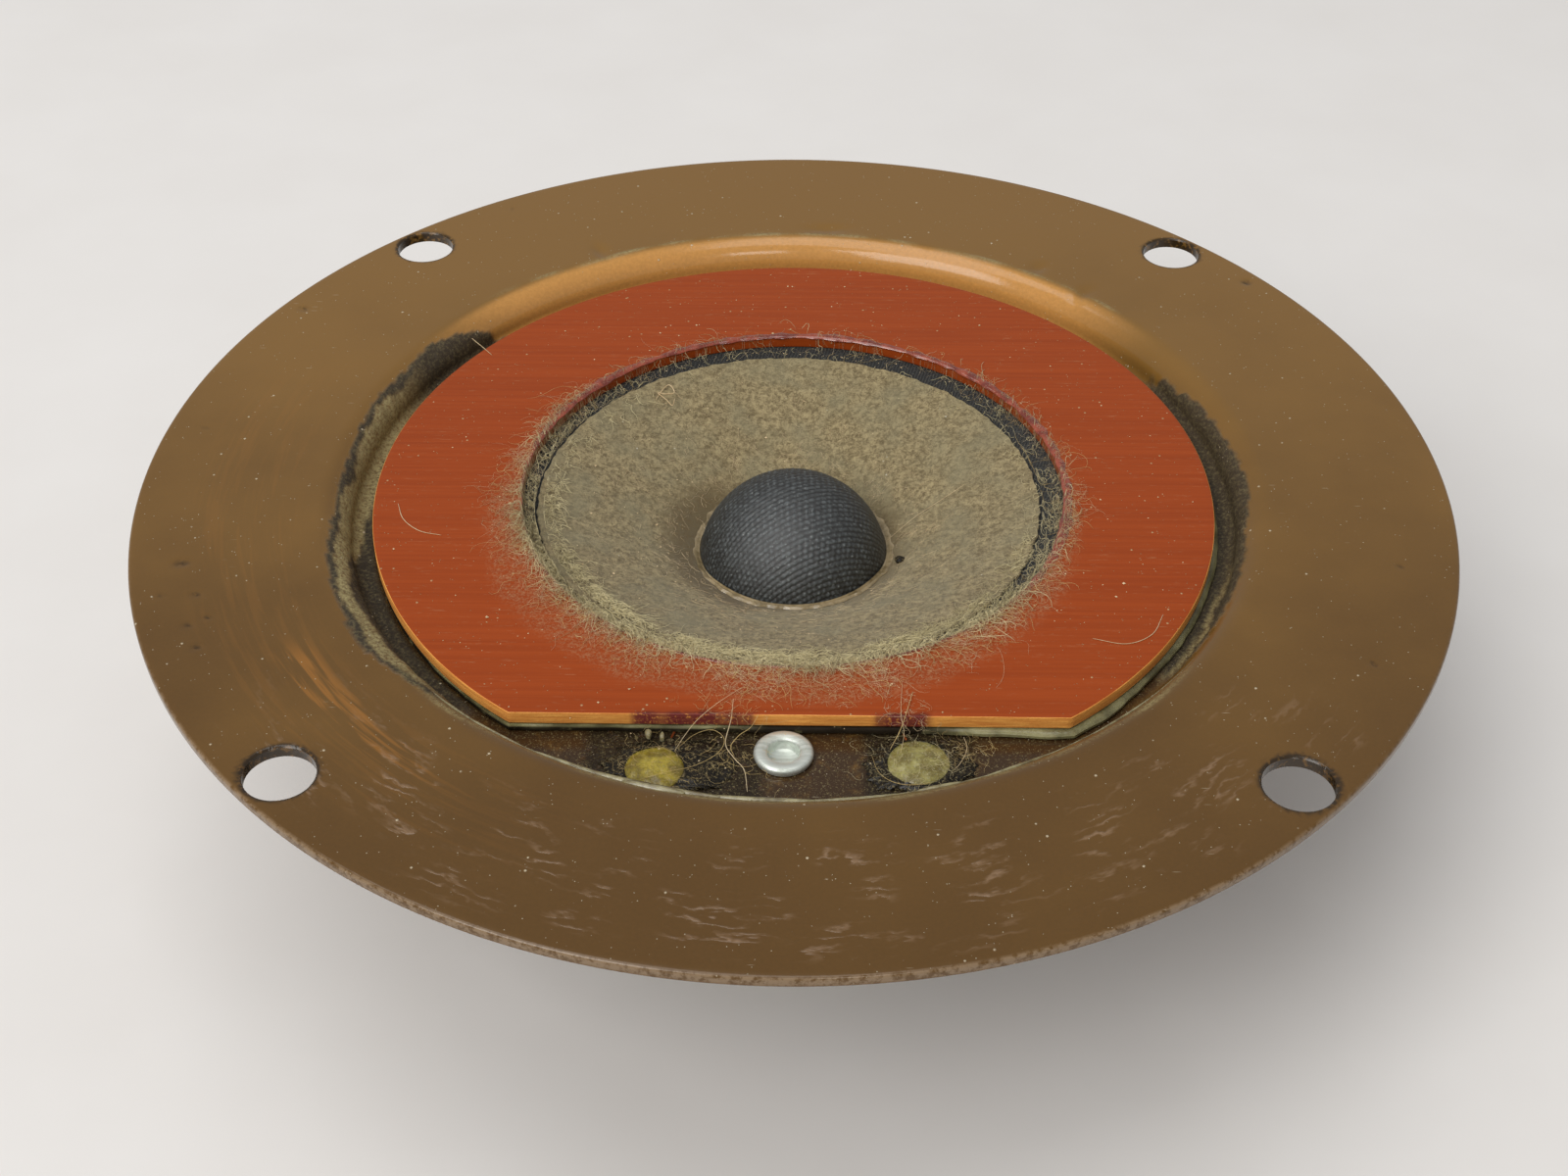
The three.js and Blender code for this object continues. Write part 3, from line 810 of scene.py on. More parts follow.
@dataclass(frozen=True)
class Phenolic(Finish):
    """Red-brown paper phenolic with fine sanding lines, dusty round its bore."""

    name: str = "red_brown_phenolic"
    slot: Slot = Slot.PHENOLIC
    light: Colour = tint(156, 67, 21)
    dark: Colour = tint(140, 57, 16)
    dust: Colour = tint(196, 160, 118)
    stain: Colour = tint(84, 32, 24)

    def build(self, s: Shader, here: Socket) -> None:
        """Lays the finish."""
        lines = s.noise(s.place((0.035, 2.4, 1)), 1.0, 4, 0.7)
        s.colour = s.mix(s.rise(lines, 0.3, 0.7), self.dark, self.light)
        s.lay(self.light, s.span(s.noise(here, 0.07, 3), 0.0, 0.5))
        fibre = s.rise(s.noise(s.place((0.5, 4.5, 1)), 1.0, 5, 0.75), 0.58, 0.72)
        s.lay(self.dust, fibre, 0.22)
        halo = s.times(s.painted("halo"), s.rise(s.noise(here, 4.0, 6, 0.85), 0.47, 0.60))
        s.lay(self.dust, halo, 0.35)
        s.lay(self.stain, s.painted("stain"), s.rise(s.noise(here, 1.0, 4), 0.3, 0.5))
        dust = s.math("MAXIMUM", s.specks(1.0, 0.13, 0.58, 3.0), s.specks(2.8, 0.17, 0.56, 11.0))
        s.lay(self.dust, dust, 0.8)
        s.set("Roughness", s.math("ADD", s.span(lines, 0.24, 0.36), s.times(halo, 0.15)))
        relief = s.bump(lines, 0.006)
        relief = s.bump(fibre, 0.004, relief)
        s.set("Normal", s.bump(s.math("MAXIMUM", dust, s.times(halo, 0.2)), 0.05, relief))
        s.set("Specular IOR Level", 0.22)


@dataclass(frozen=True)
class LaminateEdge(Finish):
    """Tan cut edge of the phenolic, with its paper layers."""

    name: str = "tan_cut_edge"
    slot: Slot = Slot.PHENOLIC
    light: Colour = tint(242, 172, 82)
    dark: Colour = tint(214, 134, 56)
    stain: Colour = tint(116, 40, 34)

    def build(self, s: Shader, here: Socket) -> None:
        """Lays the finish."""
        layers = s.noise(s.place((0.3, 0.3, 9)), 1.0, 3, 0.6)
        rag = s.noise(s.place(), 3.0, 5, 0.7)
        s.colour = s.mix(s.rise(layers, 0.35, 0.65), self.dark, self.light)
        s.lay(self.dark, s.rise(rag, 0.5, 0.75))
        stained = s.times(s.painted("stain"), s.rise(rag, 0.66, 0.52))
        s.lay(self.stain, stained)
        s.set("Roughness", s.span(rag, 0.55, 0.85))
        s.set("Normal", s.bump(s.math("ADD", layers, rag), 0.05))


@dataclass(frozen=True)
class Varnish(Finish):
    """A glossy bead of red-brown varnish."""

    name: str = "red_varnish"
    slot: Slot = Slot.PHENOLIC
    colour: Colour = tint(152, 70, 48)
    dark: Colour = tint(108, 42, 30)
    dust: Colour = tint(206, 176, 146)

    def build(self, s: Shader, here: Socket) -> None:
        """Lays the finish."""
        s.colour = s.mix(s.rise(s.noise(here, 0.9, 4), 0.35, 0.65), self.dark, self.colour)
        lint_and_glint = s.rise(s.noise(here, 5.0, 6, 0.85), 0.56, 0.66)
        s.lay(self.dust, lint_and_glint, 0.6)
        s.set("Roughness", s.span(lint_and_glint, 0.12, 0.5))
        s.set("Normal", s.bump(s.noise(here, 1.6, 4, 0.6), 0.05))
        s.set("Coat Weight", 0.6)
        s.set("Coat Roughness", 0.06)


@dataclass(frozen=True)
class Cement(Finish):
    """Grey cement squeezed out under the ring, half covered in dust."""

    name: str = "grey_cement"
    slot: Slot = Slot.CEMENT
    light: Colour = tint(142, 138, 98)
    dark: Colour = tint(90, 86, 58)
    dust: Colour = tint(112, 98, 64)
    dirt: Colour = tint(32, 25, 15)

    def build(self, s: Shader, here: Socket) -> None:
        """Lays the finish."""
        s.colour = s.mix(s.rise(s.noise(here, 0.35, 4), 0.35, 0.65), self.dark, self.light)
        s.lay(self.dust, s.rise(s.noise(here, 3.0, 5, 0.8), 0.5, 0.66), 0.6)
        s.lay(self.dirt, s.painted("dirty"), s.rise(s.noise(here, 0.7, 3), 0.25, 0.4))
        s.set("Roughness", s.math("ADD", s.span(s.noise(here, 1.2, 3), 0.16, 0.36), s.times(s.painted("dirty"), 0.4)))
        s.set("Specular IOR Level", s.span(s.painted("dirty"), 0.5, 0.15))
        s.set("Normal", s.bump(s.noise(here, 0.9, 3, 0.5), 0.05))
        s.set("Subsurface Weight", 0.35)
        s.set("Subsurface Radius", (0.001, 0.001, 0.0008))
        s.set("Subsurface Scale", 0.3)


@dataclass(frozen=True)
class Cloth(Finish):
    """Woven or felted cloth, with lint caught on it."""

    name: str
    slot: Slot
    thread: Colour
    gap: Colour
    lint_and_glint: Colour
    lint_share: float = 0.4
    pitch: float = 0.35
    sheen: float = 0.3
    roughness: float = 0.8

    def build(self, s: Shader, here: Socket) -> None:
        """Lays the finish."""
        flow = s.place((1 / self.pitch, 1 / self.pitch, 1 / self.pitch), 18)
        weave = s.node("TexWave", "Fac", {"Vector": flow, "Scale": 0.32, "Distortion": 1.5})
        mottled = s.times(weave, s.noise(here, 2.5, 4, 0.7))
        s.colour = s.mix(s.rise(mottled, 0.1, 0.5), self.gap, self.thread)
        lint_and_glint = s.rise(s.noise(here, 4.5, 6, 0.85), 0.66 - 0.2 * self.lint_share, 0.72 - 0.2 * self.lint_share)
        s.lay(self.lint_and_glint, lint_and_glint)
        s.set("Roughness", self.roughness)
        s.set("Sheen Weight", self.sheen)
        s.set("Sheen Roughness", 0.5)
        relief = s.bump(mottled, 0.08)
        s.set("Normal", s.bump(lint_and_glint, 0.08, relief))


@dataclass(frozen=True)
class DomeCloth(Finish):
    """Black treated cloth, whose weave is in the mesh, with a painted sheen on the crowns of the threads and painted
    glints on some of them.
    """

    name: str = "black_dome_cloth"
    slot: Slot = Slot.DOME_CLOTH
    crown: Colour = tint(88, 95, 97)
    valley: Colour = tint(7, 7, 7)
    # near-white colour of the painted glints on the thread crowns
    lint_and_glint: Colour = tint(200, 208, 204)

    def build(self, s: Shader, here: Socket) -> None:
        """Lays the finish."""
        # painted sheen: the thread crowns are laid much lighter than the near-black gaps
        height = s.times(s.painted("crown"), s.span(s.noise(here, 3.5, 4, 0.7), 0.55, 1.25))
        s.colour = s.mix(s.rise(height, 0.25, 0.95), self.valley, self.crown)
        # painted glints: near-white specks laid on the thread crowns
        glint = s.times(s.rise(s.noise(here, 5.0, 3, 0.8), 0.60, 0.66), s.painted("crown"))
        s.lay(self.lint_and_glint, glint, 0.55)
        s.set("Roughness", s.span(s.noise(here, 4.0, 3), 0.36, 0.54))
        s.set("Normal", s.bump(s.noise(here, 9.0, 4, 0.8), 0.04))
        s.set("Specular IOR Level", 0.9)


@dataclass(frozen=True)
class Paper(Finish):
    """Grey-brown felted paper pulp, stained towards the neck and dusty towards the rim."""

    name: str = "felted_paper"
    slot: Slot = Slot.PAPER
    light: Colour = tint(170, 153, 112)
    dark: Colour = tint(94, 79, 46)
    grey: Colour = tint(128, 121, 92)
    stain: Colour = tint(98, 78, 40)

    def build(self, s: Shader, here: Socket) -> None:
        """Lays the finish."""
        cloud = s.noise(here, 2.0, 7, 0.8, 0.3)
        fibre = s.noise(s.place((3.4, 8.5, 5), 35), 1.0, 5, 0.8, 0.5)
        cross = s.noise(s.place((8.5, 3.4, 5), 20), 1.0, 5, 0.8, 0.5)
        s.colour = s.mix(s.rise(cloud, 0.38, 0.62), self.dark, self.light)
        s.lay(self.dark, s.rise(s.noise(here, 0.7, 5, 0.75), 0.45, 0.62), 0.4)
        s.lay(self.light, s.rise(fibre, 0.48, 0.64), 0.55)
        s.lay(self.dark, s.rise(cross, 0.50, 0.66), 0.6)
        rounds = s.rise(s.noise(s.flow(0.05, 1.8), 1.0, 3, 0.6), 0.5, 0.62)
        s.lay(self.light, s.painted("rounds"), rounds)
        s.lay(self.grey, s.rise(s.noise(here, 0.25, 3), 0.4, 0.7), 0.5)
        s.lay(s.mix(s.rise(cloud, 0.35, 0.6), self.stain, self.dark), s.painted("stain"))
        dust = s.specks(1.1, 0.12, 0.62, 5.0)
        s.lay(tint(210, 205, 185), dust, 0.7)
        s.set("Roughness", s.span(cloud, 0.62, 0.85))
        relief = s.bump(cloud, 0.06)
        relief = s.bump(fibre, 0.05, relief)
        s.set("Normal", s.bump(cross, 0.05, relief))
        s.set("Sheen Weight", 0.15)


@dataclass(frozen=True)
class Resin(Finish):
    """Clear or coloured glue, cement or tar, with dust sunk in it."""

    name: str
    slot: Slot
    colour: Colour
    deep: Colour
    dust: Colour
    dust_share: float = 0.3
    roughness: float = 0.12
    depth: float = 0.0
    glassy: float = 0.0
    wave: float = 0.12
    coat: float = 0.5
    shine: float = 0.5

    def build(self, s: Shader, here: Socket) -> None:
        """Lays the finish."""
        s.colour = s.mix(s.rise(s.noise(here, 0.8, 4, 0.6), 0.35, 0.65), self.deep, self.colour)
        edge = 0.70 - 0.2 * self.dust_share
        dust = s.rise(s.noise(here, 4.2, 6, 0.85), edge, edge + 0.06)
        s.lay(self.dust, dust, 0.8)
        s.set("Roughness", s.span(dust, self.roughness, 0.6))
        relief = s.bump(s.noise(here, 0.7, 4, 0.5), self.wave)
        s.set("Normal", s.bump(dust, 0.04, relief))
        s.set("Specular IOR Level", self.shine)
        s.set("Coat Weight", self.coat)
        s.set("Coat Roughness", 0.08)
        if self.depth:
            s.set("Subsurface Weight", self.depth)
            s.set("Subsurface Radius", (0.0012, 0.001, 0.0004))
            s.set("Subsurface Scale", 1.0)
        if self.glassy:
            s.set("Transmission Weight", self.glassy)
            s.set("IOR", 1.48)


@dataclass(frozen=True)
class Metal(Finish):
    """Bare or plated metal, dulled and scratched."""

    name: str
    slot: Slot
    light: Colour
    dark: Colour
    tarnish: Colour
    roughness: float = 0.35
    metallic: float = 0.9
    turned: bool = False

    def build(self, s: Shader, here: Socket) -> None:
        """Lays the finish."""
        lines = s.noise(s.place((0.4, 5.0, 5.0), 12), 1.0, 4, 0.7)
        if self.turned:
            lines = s.noise(s.flow(0.03, 5.0), 1.0, 4, 0.7)
        s.colour = s.mix(s.rise(lines, 0.35, 0.65), self.dark, self.light)
        tarnish = s.rise(s.noise(here, 0.6, 6, 0.75), 0.5, 0.72)
        s.lay(self.tarnish, tarnish, 0.6)
        s.set("Metallic", s.times(s.span(tarnish, 1.0, 0.7), self.metallic))
        s.set("Roughness", s.math("ADD", s.span(lines, self.roughness - 0.08, self.roughness + 0.1),
                                  s.times(tarnish, 0.2)))
        s.set("Normal", s.bump(lines, 0.006, s.bump(s.noise(here, 0.9, 4, 0.6), 0.02)))


@dataclass(frozen=True)
class Mineral(Finish):
    """Fired ferrite, felt or board: dull, grainy and uneven."""

    name: str
    slot: Slot
    light: Colour
    dark: Colour
    grain: float = 3.0
    relief: float = 0.04
    roughness: float = 0.75
    sheen: float = 0.0
    stretch: Colour = (1, 1, 1)

    def build(self, s: Shader, here: Socket) -> None:
        """Lays the finish."""
        here = s.place(self.stretch)
        grain = s.noise(here, self.grain, 6, 0.75)
        cloud = s.noise(here, self.grain * 0.08, 4, 0.6)
        s.colour = s.mix(s.rise(s.math("ADD", s.times(grain, 0.6), s.times(cloud, 0.4)), 0.36, 0.62), self.dark,
                         self.light)
        s.set("Roughness", s.span(grain, self.roughness - 0.15, min(1.0, self.roughness + 0.12)))
        s.set("Normal", s.bump(grain, self.relief))
        if self.sheen:
            s.set("Sheen Weight", self.sheen)


GLOSS_PAINT = GlossPaint()
DULL_PAINT = PlainPaint()
PHENOLIC = Phenolic()
CUT_EDGE = LaminateEdge()
VARNISH = Varnish()
GREY_CEMENT = Cement()
PAPER = Paper()
DOME_CLOTH = DomeCloth()
SURROUND_CLOTH = Cloth("black_surround_cloth", Slot.BLACK_CLOTH, tint(44, 46, 44), tint(14, 14, 13),
                       tint(128, 122, 92), 0.42, 0.3, 0.2, 0.85)
SPIDER_CLOTH = Cloth("amber_spider_cloth", Slot.SPIDER, tint(176, 130, 58), tint(110, 74, 28), tint(200, 180, 140),
                     0.1, 0.5, 0.1, 0.6)
AMBER = Resin("amber_cement", Slot.AMBER, tint(166, 148, 50), tint(112, 96, 30), tint(184, 170, 104), 0.75, 0.28, 0.4,
              0.0, 0.2, 0.2)
AMBER_PALE = Resin("pale_amber_cement", Slot.AMBER, tint(158, 150, 88), tint(112, 100, 48), tint(194, 184, 136), 0.85,
                   0.3, 0.4, 0.0, 0.24, 0.25)
OLD_GLUE = Resin("old_lip_glue", Slot.CEMENT, tint(150, 142, 106), tint(98, 86, 56), tint(186, 178, 144), 0.5, 0.3,
                 0.2, 0.0, 0.1)
TAR = Resin("black_tar", Slot.TAR, tint(32, 26, 18), tint(12, 10, 7), tint(132, 118, 84), 0.95, 0.24, 0.0, 0.0, 0.08,
            0.1, 0.25)
CLEAR_GLUE = Resin("clear_glue", Slot.CLEAR_GLUE, tint(190, 170, 132), tint(140, 122, 86), tint(176, 164, 126), 0.45,
                   0.2, 0.0, 0.4, 0.06, 0.2)
ALUMINIUM = Metal("dull_aluminium", Slot.ALUMINIUM, tint(222, 227, 220), tint(196, 203, 194), tint(164, 164, 150),
                  0.42, 0.7, True)
STEEL = Metal("plated_steel", Slot.STEEL, tint(176, 174, 160), tint(138, 136, 124), tint(104, 92, 66), 0.38, 0.9,
              True)
TINNED = Metal("tinned_brass", Slot.BRASS, tint(190, 184, 164), tint(150, 142, 116), tint(112, 92, 54), 0.36, 0.9)
COPPER = Metal("enamelled_copper", Slot.COPPER, tint(190, 104, 52), tint(138, 66, 30), tint(90, 44, 24), 0.3, 0.8,
               True)
FERRITE = Mineral("grey_ferrite", Slot.FERRITE, tint(70, 69, 70), tint(40, 39, 40), 2.4, 0.05, 0.7)
FELT = Mineral("grey_felt", Slot.FELT, tint(158, 154, 146), tint(98, 94, 88), 5.0, 0.2, 0.88, 0.4)
BOARD = Mineral("fibre_board", Slot.BOARD, tint(140, 108, 74), tint(96, 68, 42), 3.0, 0.08, 0.82)
STRIP_BOARD = Mineral("strip_board", Slot.STRIP, tint(124, 74, 38), tint(82, 44, 22), 1.2, 0.03, 0.5, 0.0, (0.2, 2, 2))
FORMER_PAPER = Mineral("former_paper", Slot.FORMER, tint(184, 146, 88), tint(138, 100, 54), 2.5, 0.04, 0.7)
LINT_TAN = Mineral("tan_lint", Slot.BLACK_CLOTH, tint(214, 186, 120), tint(170, 140, 84), 1.5, 0.01, 0.75, 0.2)
LINT_PALE = Mineral("pale_lint", Slot.BLACK_CLOTH, tint(228, 206, 166), tint(190, 160, 116), 1.5, 0.01, 0.7, 0.2)
LINT_OLIVE = Mineral("olive_lint", Slot.BLACK_CLOTH, tint(226, 212, 164), tint(166, 152, 108), 1.5, 0.01, 0.8, 0.2)


# ---- plate and cup


@dataclass
class Patch:
    """A small round or oval mark on the plate."""

    x: float
    y: float
    along: float
    across: float
    turn: float = 0.0

    def strength(self, p: Array) -> Array:
        """1 at the middle of the mark, falling to 0 at about its edge."""
        turn = math.radians(self.turn)
        dx, dy = p[:, 0] - self.x, p[:, 1] - self.y
        u = (dx * math.cos(turn) + dy * math.sin(turn)) / self.along
        v = (-dx * math.sin(turn) + dy * math.cos(turn)) / self.across
        return np.exp(-(u * u + v * v) * 1.6)


@dataclass
class Remains:
    """Remains of an old gasket on the plate's shoulder, along a stretch of the circle."""

    middle: float
    half: float
    bearings: list[float]
    reaches: list[float]
    seed: int
    rim: float
    crest: float
    pale_middle: float = 192.0
    pale_half: float = 26.0
    pale_share: float = 1.0
    share: float = 1.0
    inner: float = 37.4

    def masks(self, radius: Array, angle: Array) -> tuple[Array, Array]:
        """How sooty and how dust-covered each point is.

        Args:
            radius: Distance from the axis.
            angle: Angle in radians.

        Returns:
            The soot and the dust, 0 to 1.
        """
        degrees = (np.degrees(angle) - self.middle + 180) % 360 - 180
        rag = wander(angle, self.seed) * 0.3 + wander(angle, self.seed + 1, (34, 55, 89, 144)) * 0.16
        outer = np.interp(degrees, self.bearings, self.reaches) + rag
        here = window(angle, self.middle, self.half, 4)
        inside = smooth(outer + 0.12, outer - 0.12, radius) * here * smooth(self.inner - 0.5, self.inner, radius)
        ragged = radius + wander(angle, self.seed + 2, (21, 34)) * 0.2
        edge = smooth(outer - self.rim - 0.25, outer - self.rim, ragged)
        width = self.crest * (1 + 0.35 * wander(angle, self.seed + 3, (4, 7)))
        pale = (1 - edge) * smooth(outer - self.rim - width - 0.3, outer - self.rim - width, ragged)
        pale = pale * self.pale_share * window(angle, self.pale_middle, self.pale_half, 14)
        return inside * (1 - pale) * self.share, inside * pale * self.share


@dataclass
class MountingPlate:
    """The pressed plate: flat flange, rolled shoulder and recessed floor."""

    place: Place = node("mounting_plate")
    shoulder: float = 41.5
    roll: float = 2.6
    foot: float = 0.8
    sheet: float = 1.0
    bore: float = 25.2
    depth: float = 3.4
    hole: float = 2.78
    hole_square: float = 76.0
    sides: int = 900
    holes_in_floor: list[tuple[float, float, float]] = field(
        default_factory=lambda: [(-10.3, -34.1, 2.7), (10.0, -33.2, 2.7), (-0.4, -32.3, 1.9)])
    pits: list[Patch] = field(default_factory=lambda: [
        Patch(-51.0, -13.4, 0.62, 0.4, 20), Patch(-48.9, -17.5, 0.3, 0.22), Patch(-51.8, -17.5, 0.28, 0.2),
        Patch(-48.8, -21.3, 0.26, 0.35, 20), Patch(-47.4, -20.3, 0.22, 0.2), Patch(-47.4, -23.9, 0.22, 0.42, -15),
        Patch(44.8, 32.4, 0.42, 0.5), Patch(-48.2, 26.1, 0.45, 0.32), Patch(-53.4, 6.0, 0.2, 0.16),
        Patch(50.7, -12.2, 0.24, 0.2), Patch(46.2, -24.5, 0.2, 0.16), Patch(-30.0, 46.0, 0.22, 0.18)])
    dents: list[Patch] = field(default_factory=lambda: [
        Patch(24.3, 34.9, 1.2, 0.9, 55), Patch(28.3, 30.2, 1.5, 0.9, 47), Patch(-20.0, 37.4, 1.6, 0.8, 118),
        Patch(3.0, 42.2, 2.4, 0.8, 0)])
    blisters: list[Patch] = field(default_factory=lambda: [
        Patch(-31.3, -40.6, 2.6, 1.2, -38), Patch(-27.0, -43.6, 2.2, 1.0, -30), Patch(-21.1, -46.8, 2.6, 1.1, -24),
        Patch(-24.0, -49.6, 2.0, 0.9, -26), Patch(-14.4, -43.8, 2.4, 0.6, -16), Patch(23.4, -41.3, 2.6, 0.9, 30),
        Patch(31.7, -38.1, 2.4, 1.0, 40), Patch(27.8, -43.0, 2.2, 0.9, 33), Patch(-6.8, -53.9, 2.4, 0.7, -8),
        Patch(13.4, -53.6, 2.4, 0.7, 14), Patch(-37.5, -36.0, 1.8, 1.0, -45), Patch(20.2, -47.4, 2.0, 0.8, 24)])
    remains: list[Remains] = field(default_factory=lambda: [Remains(182, 43, [-48, -42, -32, -22, 2, 18, 31, 40, 50],
                                                                    [38.4, 39.0, 40.3, 40.2, 39.9, 41.0, 41.7, 40.8,
                                                                     39.4], 11, 0.5, 1.5, share=0.94),
                                                            Remains(-4, 31, [-36, -29, -11, 5, 29, 37],
                                                                    [38.7, 39.3, 39.6, 39.8, 39.2, 38.5], 31, 0.9,
                                                                    0.35, -38, 14, 0.7, 0.88)])

    def outline(self) -> Profile:
        """The section from the rim over the top to the bore and back underneath."""
        top = self.place.top
        roll_z = top - self.roll
        floor_r = self.shoulder - self.roll - self.foot
        edge = 0.3
        upper: Profile = [(self.place.radius, top - 0.6)]
        upper += arc((self.place.radius - edge, top - edge), edge, 0, 90, 4)
        upper += arc((self.shoulder, roll_z), self.roll, 90, 180, 14)
        upper += arc((floor_r, roll_z), self.foot, 0, -90, 6)[1:]
        upper += [(self.bore + 0.2, top - self.depth), (self.bore, top - self.depth - 0.2)]
        lower: Profile = [(self.bore, top - self.depth - self.sheet)]
        lower += arc((floor_r, roll_z), self.foot + self.sheet, -90, 0, 5)
        lower += arc((self.shoulder, roll_z), self.roll - self.sheet, 180, 90, 5)[1:]
        lower += [(self.place.radius - 0.2, top - self.sheet), (self.place.radius, top - self.sheet + 0.2)]
        return dense(upper, 0.42) + dense(lower, 1.2)[1:]

    def bend(self, p: Array) -> Array:
        """Gives the pressing its slow waves, dents, blisters and pits."""
        radius, angle = polar(p)
        top = self.place.top
        upper = smooth(top - 0.45, top - 0.25, p[:, 2]) * smooth(self.shoulder - 1.2, self.shoulder, radius)
        upper *= smooth(self.place.radius, self.place.radius - 0.6, radius)
        slope = smooth(self.shoulder - 3.3, self.shoulder - 2.2, radius) * smooth(top - 3.2, top - 2.0, p[:, 2])
        height = plasma(p[:, 0], p[:, 1], 26, 5, 3) * 0.028
        for blister in self.blisters:
            lumps = 0.5 + 0.5 * plasma(p[:, 0], p[:, 1], 2.4, 9, 3)
            height += blister.strength(p) * lumps * 0.05
        for dent in self.dents:
            height -= dent.strength(p) * 0.24
        for pit in self.pits:
            height -= pit.strength(p) * 0.22
        p[:, 2] += height * upper
        dents = sum(dent.strength(p) for dent in self.dents) * 0.28
        p[:, 2] -= dents * slope * (1 - upper)
        crumbs = self.crumbs(radius, angle, p)
        p[:, 2] += crumbs * 0.22 * smooth(top - 3.7, top - 3.3, p[:, 2])
        shrink = 1 - crumbs * 0.16 * smooth(top - 3.2, top - 2.4, p[:, 2]) / np.maximum(radius, 1)
        p[:, :2] *= shrink[:, None]
        return p

    def crumbs(self, radius: Array, angle: Array, p: Array) -> Array:
        """Thickness of the gasket remains, 0 to 1."""
        total = sum(sum(patch.masks(radius, angle)) for patch in self.remains)
        return total * (0.55 + 0.45 * plasma(p[:, 0], p[:, 1], 1.7, 21, 3))

    def cutters(self) -> list[Thing]:
        """Tools for the four screw holes and the three holes in the floor."""
        top = self.place.top
        tools = []
        for x in (-1, 1):
            for y in (-1, 1):
                profile = [(0, top - 3), (self.hole, top - 3), (self.hole, top - 0.16), (self.hole + 0.1, top - 0.05),
                           (self.hole + 0.4, top + 0.12), (self.hole + 0.4, top + 1), (0, top + 1)]
                at = (x * self.hole_square / 2, y * self.hole_square / 2)
                tools.append(revolve("hole", profile, 56, False, None, at))
        floor = top - self.depth
        return tools + [drill((x, y), r, floor - 3, floor + 1, 36) for x, y, r in self.holes_in_floor]

    def dress(self, obj: Thing) -> None:
        """Paints the wear, and the painted highlights and sheen, that the finish reads."""
        p = places_of(obj)
        radius, angle = polar(p)
        top = self.place.top
        above = smooth(top - 4.0, top - 3.5, p[:, 2])
        soot, dusty = np.zeros(len(p)), np.zeros(len(p))
        for patch in self.remains:
            a, b = patch.masks(radius, angle)
            soot, dusty = np.maximum(soot, a), np.maximum(dusty, b)
        # partly glue dust, partly painted highlight: a light line along the horizon of the front shoulder
        lip = window(angle, 268, 50, 8) * np.exp(-((radius - 40.3 - wander(angle, 77) * 0.35) / 0.28) ** 2)
        lip *= 0.5 + 0.5 * wander(angle, 78, (13, 21, 34, 55))
        # painted highlight: a thin light line along the top of the back shoulder
        crest_highlight = window(angle, 88, 42, 10) * np.exp(-((radius - 41.2 - wander(angle, 79) * 0.3) / 0.2) ** 2)
        crest_highlight *= 0.5 + 0.7 * wander(angle, 80, (13, 21, 34, 55))
        # both light lines go into the dust mask, beside the real gasket dust
        dusty = np.maximum(dusty, np.clip(np.maximum(lip, crest_highlight), 0, 1) * 0.8)
        chips = sum(pit.strength(p) for pit in self.pits)
        for x in (-1, 1):
            for y in (-1, 1):
                far = np.hypot(p[:, 0] - x * self.hole_square / 2, p[:, 1] - y * self.hole_square / 2)
                bearing = np.arctan2(p[:, 1], p[:, 0] - x * self.hole_square / 2)
                reach = self.hole + 0.25 + 0.16 * wander(bearing, 40 + 2 * x + y, (2, 5, 9, 14))
                chips += smooth(reach + 0.12, reach - 0.12, far) * 0.9
        clouds = smooth(-0.2, 0.5, plasma(p[:, 0], p[:, 1], 9.0, 15, 3))
        # the wrinkle mask also places the painted highlight on the wrinkle ridges
        wrinkle = sum(blister.strength(p) for blister in self.blisters) * 0.9
        wrinkle += window(angle, 270, 48, 10) * smooth(43, 46, radius) * smooth(56, 54, radius) * clouds
        # painted highlight: marks the back of the shoulder's roll for the warm reflection laid as colour
        gold = window(angle, 92, 40, 22) * smooth(38.2, 38.75, radius) * smooth(41.2, 40.4, radius) * 0.85
        worn = window(angle, 223, 9, 5) * smooth(44.4, 45.6, radius) * smooth(48.6, 47.2, radius) * 0.6
        worn += window(angle, 205, 30, 20) * smooth(42, 45, radius) * smooth(54, 50, radius) * 0.12
        rim = smooth(self.place.radius - 0.25, self.place.radius - 0.08, radius) * smooth(top - 1.0, top - 0.5, p[:, 2])
        rim *= 0.2 + 0.45 * window(angle, 262, 40, 20)
        film = smooth(-16.6, -15.2, p[:, 0]) * smooth(-1.4, -2.6, p[:, 0])
        film += smooth(5.2, 6.4, p[:, 0]) * smooth(15.2, 13.8, p[:, 0])
        film *= smooth(-29, -29.5, p[:, 1]) * smooth(38.6, 38.0, radius)
        # painted sheen: a gradient that makes the paint lighter towards the back and darker at the front
        tone = 0.85 * smooth(-75.0, 60.0, p[:, 1]) - 0.25
        paint(obj, soot=soot * above, dusty=dusty * above, chip=np.clip(chips, 0, 1) * above, rim=rim,
              wrinkle=np.clip(wrinkle, 0, 1) * above, worn=np.clip(worn, 0, 1) * above, gold=gold, radius=radius,
              tone=tone, film=film, floor=smooth(38.4, 37.6, radius) * above)
        paint_flow(obj)

    def build(self) -> None:
        """Builds and dresses the plate."""
        plate = revolve("mounting_plate_fine", self.outline(), self.sides, True, self.bend)
        cut_out(plate, self.cutters())
        self.dress(plate)
        settle(plate, GLOSS_PAINT, "mounting_plate")
        self.build_lip_glue()

